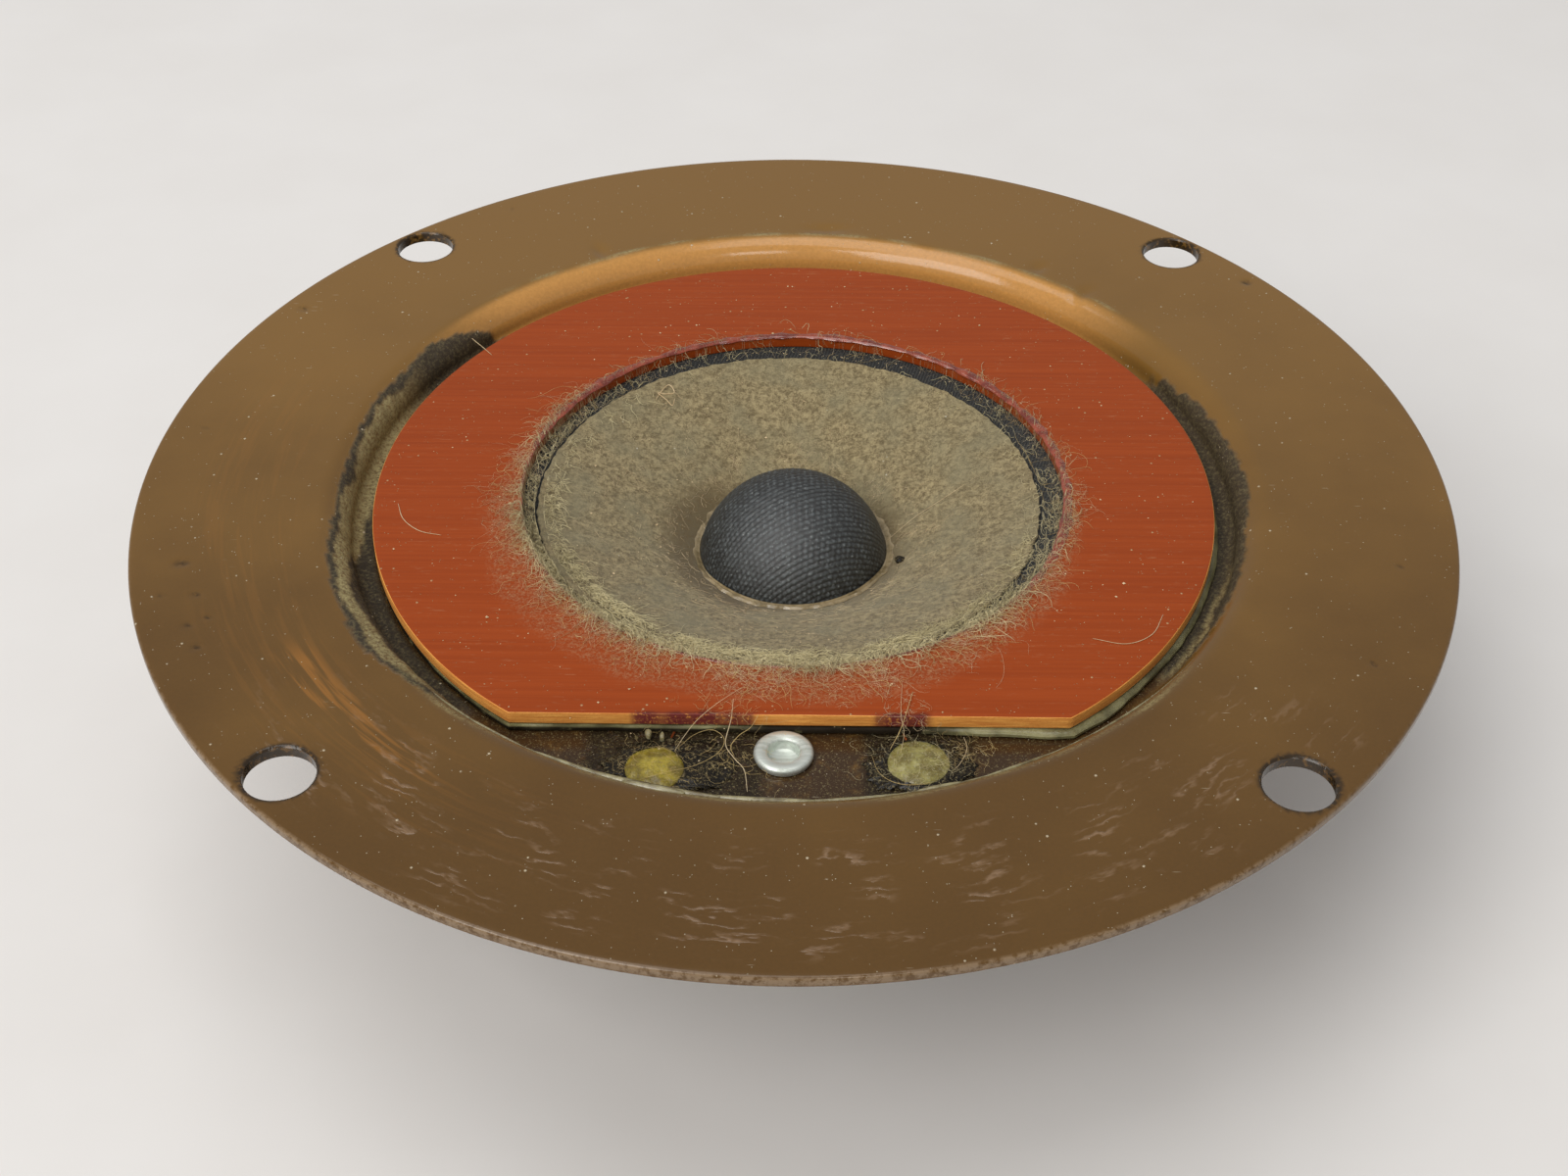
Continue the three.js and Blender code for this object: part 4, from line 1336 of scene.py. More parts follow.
    def build_lip_glue(self) -> None:
        """Old glue left in a thin uneven line along the front of the shoulder."""
        runs = [(216, 324, 0.06, 41.0), (241, 252, 0.20, 42.0), (247, 263, 0.30, 40.0), (252, 259, 0.34, 35.0),
                (261, 273, 0.26, 41.0), (271, 282, 0.15, 43.0), (284, 289, 0.2, 42.0), (292, 300, 0.15, 43.0),
                (222, 234, 0.13, 40.0), (306, 315, 0.11, 42.0), (231, 239, 0.1, 45.0)]
        for k, (first, last, width, lean_in) in enumerate(runs):
            angle = np.radians(np.linspace(first, last, 160))
            tilt = np.radians(lean_in + 3.0 * wander(angle, 190 + k, (5, 9, 17, 33)))
            radius = self.shoulder - self.roll * np.sin(tilt)
            path = np.column_stack([radius * np.cos(angle), radius * np.sin(angle),
                                    self.place.top - self.roll + self.roll * np.cos(tilt)])
            line = make_threads(f"lip_glue_{k + 1}", path[None], np.array([width]), 8, 0.2)
            settle(line, OLD_GLUE)


@dataclass
class RearCup:
    """The drawn cup behind the plate, its four rivets, the felt in it and the spacer in its foot."""

    place: Place = node("rear_cup")
    wall: float = 26.4
    sheet: float = 0.8
    rivet_hole: float = 1.7

    def outline(self, bore: float) -> Profile:
        """The cup's section, with round bends."""
        low, top, inner = self.place.bottom, self.place.top, self.wall - self.sheet
        section: Profile = [(self.place.radius, top - 0.1), (self.place.radius - 0.1, top), (inner + 0.2, top)]
        section += arc((inner - 0.6, low + self.sheet + 0.6), 0.6, 0, -90, 5)
        section += [(bore, low + self.sheet), (bore, low)]
        section += arc((self.wall - 1.4, low + 1.4), 1.4, -90, 0, 7)
        section += arc((self.wall + 0.6, top - self.sheet - 0.6), 0.6, 180, 90, 5)
        return dense(section + [(self.place.radius, top - self.sheet + 0.1)], 1.0, True)

    def build(self) -> None:
        """Builds and dresses the cup and what is fixed in it."""
        def press(p: Array) -> Array:
            """Slight waves left by the drawing."""
            angle = np.arctan2(p[:, 1], p[:, 0])
            p[:, :2] *= (1 + wander(angle, 51) * 0.0016)[:, None]
            return p

        cup = revolve("rear_cup_fine", self.outline(10.5), 240, True, press)
        rivets = [Place.of(f"frame_rivet_{i}") for i in range(1, 5)]
        cut_out(cup, [drill(rivet.middle[:2], self.rivet_hole, 10, 25, 24) for rivet in rivets])
        settle(cup, DULL_PAINT, "rear_cup")
        for i, rivet in enumerate(rivets, start=1):
            self.build_rivet(i, rivet)
        felt = Place.of("cup_felt")
        self.build_felt("cup_felt_fine", [(felt.radius - 1.6, felt.bottom), (felt.radius, felt.bottom),
                                          (felt.radius, felt.top), (felt.radius - 1.6, felt.top)], True, "cup_felt")
        pad = Place.of("pole_felt")
        self.build_felt("pole_felt_fine", [(0, pad.bottom), (pad.radius, pad.bottom), (pad.radius, pad.top - 0.5),
                                           (pad.radius - 0.6, pad.top), (0, pad.top)], False, "pole_felt")
        spacer = Place.of("spider_spacer")
        section = rounded([(20.3, spacer.bottom), (spacer.radius, spacer.bottom), (spacer.radius, spacer.top),
                           (20.3, spacer.top)], 0.25)
        settle(revolve("spider_spacer_fine", dense(section, 0.8, True), 160), BOARD, "spider_spacer")

    def build_rivet(self, number: int, rivet: Place) -> None:
        """One round-headed rivet through the cup and the pole plate."""
        seat, top = rivet.top - 0.8, rivet.top
        profile: Profile = [(0, rivet.bottom), (1.2, rivet.bottom), (1.4, rivet.bottom + 0.2), (1.4, seat),
                            (2.2, seat), (2.3, seat + 0.12)]
        profile += [(2.3 * math.cos(a), seat + 0.12 + (top - seat - 0.12) * math.sin(a)) for a in
                    np.linspace(0.12, math.pi / 2 - 0.1, 8)]
        head = revolve(f"frame_rivet_fine_{number}", profile + [(0, top)], 48, False, None, rivet.middle[:2])
        settle(head, ALUMINIUM, f"frame_rivet_{number}")

    @staticmethod
    def build_felt(name: str, corners: Profile, closed: bool, node: str) -> None:
        """A piece of felt with a soft, uneven surface."""
        def tease(points: Array) -> Array:
            """Pulls the surface out of true by the felt's own unevenness."""
            angle = np.arctan2(points[:, 1], points[:, 0])
            rough = plasma(angle * 12, points[:, 2] + points[:, 0] * 0.3, 1.6, 61, 3) * 0.05
            return points + rough[:, None] * np.array([0.4, 0.4, 1.0]) * (0.4 if closed else 1.0)

        profile = dense(rounded(corners, 0.3) if closed else corners, 0.4, closed)
        settle(revolve(name, profile, 200, closed, tease), FELT, node)


# ---- ring and surround


@dataclass
class ClampingRing:
    """The phenolic ring with its straight edge, the varnish on its lip, and the cement under it."""

    place: Place = node("phenolic_ring")
    cement: Place = node("ring_cement")
    bore: float = 24.0
    flat_y: float = -29.65

    def edge(self, angle: Array) -> Array:
        """Outer radius of the ring at an angle."""
        down = np.maximum(-np.sin(angle), 1e-6)
        return np.minimum(self.place.radius, -self.flat_y / down)

    def cut_straight(self, p: Array) -> Array:
        """Draws the outer edge in to the straight edge."""
        radius, angle = polar(p)
        share = np.clip((radius - 26.0) / (self.place.radius - 0.45 - 26.0), 0, 1)
        p[:, :2] *= (1 - share * (self.place.radius - self.edge(angle)) / np.maximum(radius, 1))[:, None]
        return p

    def build(self) -> None:
        """Builds and dresses the ring, its varnish and its cement."""
        low, top, outer = self.place.bottom, self.place.top, self.place.radius
        section = rounded([(self.bore, low), (outer, low), (outer, top), (self.bore, top)], 0.12)
        ring = revolve("clamping_ring", dense(section, 0.5, True), 720, True, self.cut_straight)
        p = places_of(ring)
        radius, angle = polar(p)
        reach = np.interp(np.degrees(angle) % 360, [0, 40, 60, 120, 150, 170, 213, 254, 278, 310, 355, 360],
                          [26.2, 25.2, 24.7, 24.7, 25.4, 26.4, 30.2, 29.8, 30.0, 29.0, 26.4, 26.2])
        reach = np.minimum(reach, self.edge(angle) - 0.2) + wander(angle, 63, (8, 13, 21, 34)) * 0.4
        paint(ring, halo=smooth(reach - 0.6, reach - 2.4, radius))
        near_edge = smooth(self.flat_y + 0.5, self.flat_y, p[:, 1] + wander(angle, 64, (34, 55, 89)) * 0.2)
        stained = smooth(-12.6, -12, p[:, 0]) * smooth(-2.4, -3.2, p[:, 0])
        stained += smooth(6.4, 7, p[:, 0]) * smooth(11.4, 10.4, p[:, 0])
        paint(ring, stain=near_edge * stained)
        paint_flow(ring)
        settle(ring, PHENOLIC, "phenolic_ring")
        ring.data.materials.append(CUT_EDGE.material())
        for face in ring.data.polygons:
            at = face.center / METRES
            far = math.hypot(at.x, at.y)
            if abs(face.normal.z) < 0.75 and far > 27:
                face.material_index = 1
        self.build_varnish(top)
        self.build_cement()

    def build_varnish(self, top: float) -> None:
        """The uneven bead of varnish on the lip of the bore."""
        def run(p: Array) -> Array:
            """Thickens and thins the bead."""
            radius, angle = polar(p)
            fat = 1 + 0.35 * wander(angle, 71, (7, 12, 19, 31)) + 0.2 * wander(angle, 72, (55, 89))
            fat *= 1 - 0.7 * window(angle, 245, 70, 20)
            new = self.bore + 0.05 + (radius - self.bore - 0.05) * fat + 0.06 * wander(angle, 73, (3, 5, 9))
            p[:, 2] = top + (p[:, 2] - top) * fat
            p[:, :2] *= (new / radius)[:, None]
            return p

        section = [(self.bore + 0.2 + 0.42 * math.cos(a), top - 0.04 + 0.17 * math.sin(a))
                   for a in np.linspace(0, TURN, 12, endpoint=False)]
        bead = revolve("lip_varnish", section, 540, True, run)
        settle(bead, VARNISH)

    def build_cement(self) -> None:
        """The cement bed, squeezed out past the ring's edge in an uneven bead."""
        low, top, outer = self.cement.bottom, self.cement.top, self.place.radius

        def squeeze(p: Array) -> Array:
            """Pushes the bead in and out along the edge."""
            p = self.cut_straight(p)
            radius, angle = polar(p)
            past = smooth(-0.1, 0.25, radius - self.edge(angle))
            ooze = 0.1 * wander(angle, 81, (5, 9, 14, 23)) + 0.05 * wander(angle, 82, (40, 66, 101))
            ooze += (0.26 + 0.16 * wander(angle, 84, (29, 43, 61))) * window(angle, 304, 8, 6)
            ooze -= 0.3 * window(angle, 175, 48, 12) - 0.3 * window(angle, 334, 26, 10)
            p[:, :2] *= (1 + past * ooze / np.maximum(radius, 1))[:, None]
            p[:, 2] += past * smooth(low, top, p[:, 2]) * 0.1 * wander(angle, 83, (17, 29, 47))
            return p

        section = [(29.8, low), (outer + 0.04, low), (outer + 0.16, low + 0.12), (outer + 0.16, low + 0.36),
                   (outer + 0.1, top - 0.12), (outer, top), (29.8, top)]
        bed = revolve("ring_cement_fine", dense(section, 0.6, True), 720, True, squeeze)
        p = places_of(bed)
        angle = np.arctan2(p[:, 1], p[:, 0])
        line = smooth(low + 0.38, low + 0.5, p[:, 2])
        clean = window(angle, 303, 9, 5) + line * window(angle, 240, 22, 5)
        clean += 0.75 * window(angle, 334, 27, 8)
        paint(bed, dirty=1 - np.clip(clean, 0, 1))
        settle(bed, GREY_CEMENT, "ring_cement")


def lean(p: Array, shift: float = -0.42) -> Array:
    """Sets the cone's rim and the surround's lip a little to one side of true.

    Args:
        p: Places in millimetres, which it moves.
        shift: How far the rim stands off centre along X.

    Returns:
        The moved places.
    """
    radius = polar(p)[0]
    p[:, 0] += shift * smooth(9, 22, radius) * smooth(24.0, 22.3, radius)
    return p


def cone_top(radius: Array | float) -> Array | float:
    """Height of the cone's front at a radius."""
    inward = 22.2 - radius
    return 31.3 - 0.28 * inward - 0.010715 * inward**2


def bridge(obj: Thing) -> None:
    """Bakes the placement of a piece that lies between the frame and the moving parts into its mesh.

    Args:
        obj: The piece.
    """
    p = places_of(obj)
    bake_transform(obj)


def dress_bridge(obj: Thing, finish: Finish, node: str) -> None:
    """Dresses a piece between the frame and the moving parts, which rides on nothing by itself."""
    obj.data.materials.append(finish.material())
    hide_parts(node)
    LOG.info("piece %s: %d faces", obj.name, len(obj.data.polygons))


@dataclass
class Surround:
    """The treated cloth between the ring and the cone."""

    foot: float = 29.2
    bore: float = 24.0
    rim: float = 22.2
    thickness: float = 0.22

    def build(self) -> None:
        """Builds and dresses the surround."""
        top = Place.of("surround").top
        under = 0.45
        upper: Profile = [(self.foot, top), (self.bore - 0.1, top), (self.bore - 0.5, top - 0.1),
                          (self.bore - 1, top - 0.28)]
        upper += [(r, float(cone_top(r)) - under) for r in (self.rim + 0.1, self.rim - 0.6, self.rim - 1.3)]
        lower = [(r, z - self.thickness) for r, z in reversed(upper)]

        def pucker(p: Array) -> Array:
            """Fine puckers in the free part of the cloth."""
            p = lean(p)
            radius, angle = polar(p)
            free = smooth(22.2, 22.7, radius) * smooth(24.0, 23.4, radius)
            p[:, 2] += free * (0.05 * wander(angle, 91, (47, 71, 113)) + 0.04 * plasma(p[:, 0], p[:, 1], 0.9, 92, 2))
            return p

        cloth = revolve("surround_cloth", dense(upper + lower, 0.25, True), 480, True, pucker)
        dress_bridge(cloth, SURROUND_CLOTH, "surround")
        bridge(cloth)
        gasket = bpy.data.objects["surround_gasket"]
        gasket.data.materials.clear()
        gasket.data.materials.append(BOARD.material())


# ---- moving parts


@dataclass
class Cone:
    """The felted paper cone."""

    rim: float = 22.2
    neck: float = 7.24375
    thickness: float = 0.35

    def build(self) -> None:
        """Builds and dresses the cone."""
        steps = np.linspace(self.neck, self.rim, 58)
        upper = [(float(r), float(cone_top(r))) for r in steps]
        lower = [(float(r), float(cone_top(r)) - self.thickness) for r in steps[::-3]]
        section = [*upper, (self.rim + 0.08, upper[-1][1] - self.thickness / 2), *lower]

        def pulp(p: Array) -> Array:
            """Lumps and a slightly ragged rim, as felted paper has."""
            radius, angle = polar(p)
            front = smooth(self.thickness * 0.7, 0.05, cone_top(radius) - p[:, 2])
            lumps = plasma(p[:, 0], p[:, 1], 2.6, 101, 4) * 0.035 + plasma(p[:, 0], p[:, 1], 11, 102, 2) * 0.03
            p[:, 2] += lumps * front * smooth(self.neck, 9.5, radius)
            ragged = 0.12 * wander(angle, 103, (29, 47, 76, 123)) * smooth(self.rim - 0.5, self.rim, radius)
            p[:, :2] *= (1 + ragged / radius)[:, None]
            return lean(p)

        cone = revolve("paper_cone", section, 600, True, pulp)
        p = places_of(cone)
        radius, angle = polar(p)
        spread = 10.0 + 1.4 * window(angle, 195, 50, 35) + 0.5 * wander(angle, 104)
        share = 0.8 * window(angle, 192, 45, 40) + 0.6 * window(angle, 350, 35, 30)
        paint(cone, stain=smooth(spread + 1.4, spread - 1.2, radius) * np.clip(0.1 + share, 0, 1),
              rounds=window(angle, 272, 48, 25) * smooth(8.5, 9.5, radius) * smooth(15.0, 12.0, radius) * 0.7)
        paint_flow(cone)
        settle(cone, PAPER, "cone", body=Body.MOVING)


@dataclass
class DustCap:
    """The woven dome, its glue, and the dab of black over a lead's end."""

    place: Place = node("dust_cap")
    thickness: float = 0.35
    thread: float = 0.5
    weft: float = 0.62
    relief: float = 0.13
    turn: float = -63.0

    def weave(self, along: Array, across: Array) -> Array:
        """Height of a twill weave, 0 in the gaps to 1 on the crowns.

        Args:
            along: Distance over the dome across the rows of threads.
            across: Distance along the rows.

        Returns:
            The height.
        """
        u = along / self.thread + 0.12 * plasma(along, across, 6.0, 111, 3)
        v = across / self.weft + 0.12 * plasma(along, across, 7.0, 112, 3)
        i = np.round(u)
        row = np.sqrt(np.clip(1 - ((u - i) / 0.53) ** 2, 0, 1))
        over = 0.5 + 0.5 * np.cos(TURN * v + 2.4 * i)
        fray = 0.78 + 0.22 * plasma(along, across, 0.55, 115, 2)
        return np.clip(row * (0.74 + 0.26 * over) * fray, 0, 1)

    def build(self) -> None:
        """Builds and dresses the cap, its glue and the dab."""
        foot, top, reach = self.place.bottom, self.place.top, self.place.radius
        height = top - foot
        ball = (reach**2 + height**2) / (2 * height)
        middle = top - ball
        span = math.degrees(math.atan2(foot - middle, reach))
        inner = ball - self.thickness
        inner_span = math.degrees(math.asin((foot - middle) / inner))
        outer_line = arc((0, middle), ball, 90, span, 132)
        inner_line = arc((0, middle), inner, inner_span, 90, 14)
        profile = [(0.0, top), *outer_line[1:], *inner_line[:-1], (0.0, middle + inner)]
        crowns: list[Array] = []

        def drape(p: Array) -> Array:
            """Raises the threads and gives the dome its slight unevenness."""
            away = p - np.array([0, 0, middle])
            far = np.linalg.norm(away, axis=1)
            outside = smooth(ball - self.thickness * 0.5, ball - 0.02, far)
            tilt = np.arccos(np.clip(away[:, 2] / far, -1, 1)) * ball
            angle = np.arctan2(p[:, 1], p[:, 0]) - math.radians(self.turn)
            cloth = self.weave(tilt * np.cos(angle), tilt * np.sin(angle))
            treated = 0.85 + 0.15 * plasma(p[:, 0], p[:, 1], 1.2, 113, 3)
            slack = 0.01 * plasma(p[:, 0], p[:, 1], 9.0, 114, 2) * smooth(ball * 1.3, ball * 0.9, tilt)
            crowns.append(np.clip(cloth * treated, 0, 1) * outside)
            lift = ((cloth - 1.0) * treated * self.relief + slack - 0.02) * outside
            return p + away / far[:, None] * lift[:, None]

        dome = revolve("dust_cap_cloth", profile, 620, False, drape)
        paint(dome, crown=crowns[0])
        settle(dome, DOME_CLOTH, "dust_cap", body=Body.MOVING)
        self.build_glue(reach)
        self.build_dab()

    @staticmethod
    def build_glue(reach: float) -> None:
        """The clear glue run round the foot of the cap."""
        def run(p: Array) -> Array:
            """Widens and thins the bead round the cap."""
            radius, angle = polar(p)
            flow = 0.16 * wander(angle, 121, (3, 7, 11, 17)) + 0.08 * wander(angle, 122, (29, 43))
            outside = smooth(reach + 0.15, reach + 0.55, radius)
            new = radius + flow * outside
            share = 0.15 + 0.85 * window(angle, 275, 48, 30)
            p[:, 2] = cone_top(new) + (p[:, 2] - cone_top(radius)) * share
            p[:, :2] *= (new / radius)[:, None]
            return p

        a, b = reach + 0.02, reach + 0.6
        section = [(a, float(cone_top(a)) + 0.03), (b, float(cone_top(b)) + 0.03),
                   (b - 0.08, float(cone_top(b)) + 0.1), (b - 0.25, float(cone_top(b)) + 0.17),
                   (a + 0.12, float(cone_top(a)) + 0.3), (a, float(cone_top(a)) + 0.5)]
        glue = revolve("dust_cap_glue_bead", dense(section, 0.2, True), 360, True, run)
        settle(glue, CLEAR_GLUE, "dust_cap_glue", body=Body.MOVING)

    @staticmethod
    def build_dab() -> None:
        """The small dab of tar on the cone beside the cap."""
        angles = np.linspace(0, TURN, 40, endpoint=False)
        size = 0.52 + 0.08 * wander(angles, 131, (2, 3, 5))
        outline = np.column_stack([9.6 + size * np.cos(angles), -2.6 + size * 0.8 * np.sin(angles)])
        height = float(cone_top(10.0))
        dab = flat_piece("lead_dab", outline, height - 0.2, height + 0.2, 0.15, 0.14)
        settle(dab, TAR, body=Body.MOVING)


@dataclass
class VoiceCoil:
    """The paper former and its winding."""

    turns: int = 24

    def build(self) -> None:
        """Builds and dresses both."""
        former = Place.of("coil_former")
        section = rounded([(former.radius - 0.2, former.bottom), (former.radius, former.bottom),
                           (former.radius, former.top), (former.radius - 0.2, former.top)], 0.05)
        tube = revolve("coil_former_fine", dense(section, 0.5, True), 128)
        paint_flow(tube)
        settle(tube, FORMER_PAPER, "coil_former", body=Body.MOVING)
        coil = Place.of("coil_winding")
        pitch = (coil.top - coil.bottom) / self.turns
        wound: Profile = [(coil.radius - 0.4, coil.bottom)]
        for i in range(self.turns):
            wound += arc((coil.radius - pitch / 2, coil.bottom + (i + 0.5) * pitch), pitch / 2, -80, 80, 4)
        wound.append((coil.radius - 0.4, coil.top))
        wire = revolve("coil_winding_fine", wound, 160, sharp=80)
        paint_flow(wire)
        settle(wire, COPPER, "coil_winding", body=Body.MOVING)


@dataclass
class Spider:
    """The corrugated cloth that centres the coil."""

    level: float = 22.8
    start: float = 9.0
    foot: float = 20.3
    outer: float = 23.2
    ridges: int = 6
    height: float = 0.35
    thickness: float = 0.25

    def build(self) -> None:
        """Builds and dresses the spider."""
        pitch = (self.foot - self.start) / self.ridges
        upper: Profile = [(7.36, self.level)]
        for r in np.linspace(self.start, self.foot, 97):
            ends = float(smooth(self.start, self.start + pitch / 2, r) * smooth(self.foot, self.foot - pitch / 2, r))
            upper.append((float(r), self.level + self.height * ends * math.sin(math.pi * (r - self.start) / pitch)))
        upper.append((self.outer, self.level))
        lower = [(r, z - self.thickness) for r, z in reversed(upper)]
        cloth = revolve("spider_cloth", dense(upper + lower, 0.5, True), 320)
        dress_bridge(cloth, SPIDER_CLOTH, "spider")
        bridge(cloth)


# ---- motor


@dataclass
class Motor:
    """Back plate, magnet, front pole plate and pole piece, with the glue between them."""

    chamfer: float = 0.5
    rivet_hole: float = 1.7

    def disc(self, node: str, bore: float, finish: Finish, wear: float) -> Thing:
        """A turned or fired disc with a bore, its edges broken and chipped."""
        place = Place.of(node)
        edge = self.chamfer
        low, top, outer = place.bottom, place.top, place.radius
        corners: Profile = [(bore, low), (outer - edge, low), (outer, low + edge), (outer, top - edge),
                            (outer - edge, top), (bore, top)]

        def use(p: Array) -> Array:
            """Small chips along the edges."""
            radius, angle = polar(p)
            near = smooth(outer - 1.2, outer - 0.2, radius) * smooth(0.9, 0.1, np.minimum(p[:, 2] - low, top - p[:, 2]))
            chips = np.clip(wander(angle, 141, (13, 34, 55, 89)) + wander(angle, 142, (7, 21)) - 0.9, 0, 1)
            p[:, :2] *= (1 - near * chips * wear / np.maximum(radius, 1))[:, None]
            return p

        obj = revolve(f"{node}_fine", dense(rounded(corners, 0.15), 0.6, True), 300, True, use)
        paint_flow(obj)
        return settle(obj, finish, node)

    def build(self) -> None:
        """Builds and dresses the motor."""
        self.disc("back_plate", 4.3, STEEL, 0.1)
        self.disc("magnet_ring", 12.0, FERRITE, 0.9)
        front = self.disc("front_pole_plate", 8.0, STEEL, 0.1)
        rivets = [Place.of(f"frame_rivet_{i}") for i in range(1, 5)]
        cut_out(front, [drill(rivet.middle[:2], self.rivet_hole, 10, 25, 24) for rivet in rivets])
        pole = Place.of("pole_piece")
        body, top = pole.radius, pole.top
        profile: Profile = [(0, 0.25), (1.4, 0.25), (1.6, 0.0), (3.7, 0.0), (4.0, 0.3), (4.0, 4.9), (body, 4.9),
                            (body, top - 0.5), (body - 0.5, top), (0, top)]
        piece = revolve("pole_piece_fine", dense(profile, 0.5), 128, False)
        paint_flow(piece)
        settle(piece, STEEL, "pole_piece")
        magnet = Place.of("magnet_ring")
        self.build_bead("magnet_glue_back", magnet.bottom - 0.05, 151)
        self.build_bead("magnet_glue_front", magnet.top + 0.05, 152)

    @staticmethod
    def build_bead(name: str, height: float, seed: int) -> None:
        """The line of amber glue squeezed out between the magnet and a plate."""
        def ooze(p: Array) -> Array:
            """Thickens and thins the bead."""
            radius, angle = polar(p)
            fat = 0.75 + 0.6 * np.clip(wander(angle, seed, (3, 5, 11, 19)), -0.8, 1)
            p[:, 2] = height + (p[:, 2] - height) * fat
            p[:, :2] *= ((26.4 + (radius - 26.4) * (0.8 + 0.2 * fat)) / radius)[:, None]
            return p

        section = [(26.4 + 0.75 * math.cos(a), height + 0.5 * math.sin(a)) for a in
                   np.linspace(0, TURN, 14, endpoint=False)]
        settle(revolve(name, section, 300, True, ooze), AMBER)


# ---- terminals


@dataclass
class Terminal:
    """One terminal: the middle of its hole, and the patch of tar round it."""

    side: str
    x: float
    y: float
    plug: float
    seal_x: float
    seal_y: float
    seal_w: float
    seal_h: float
    finish: Finish
    seed: int


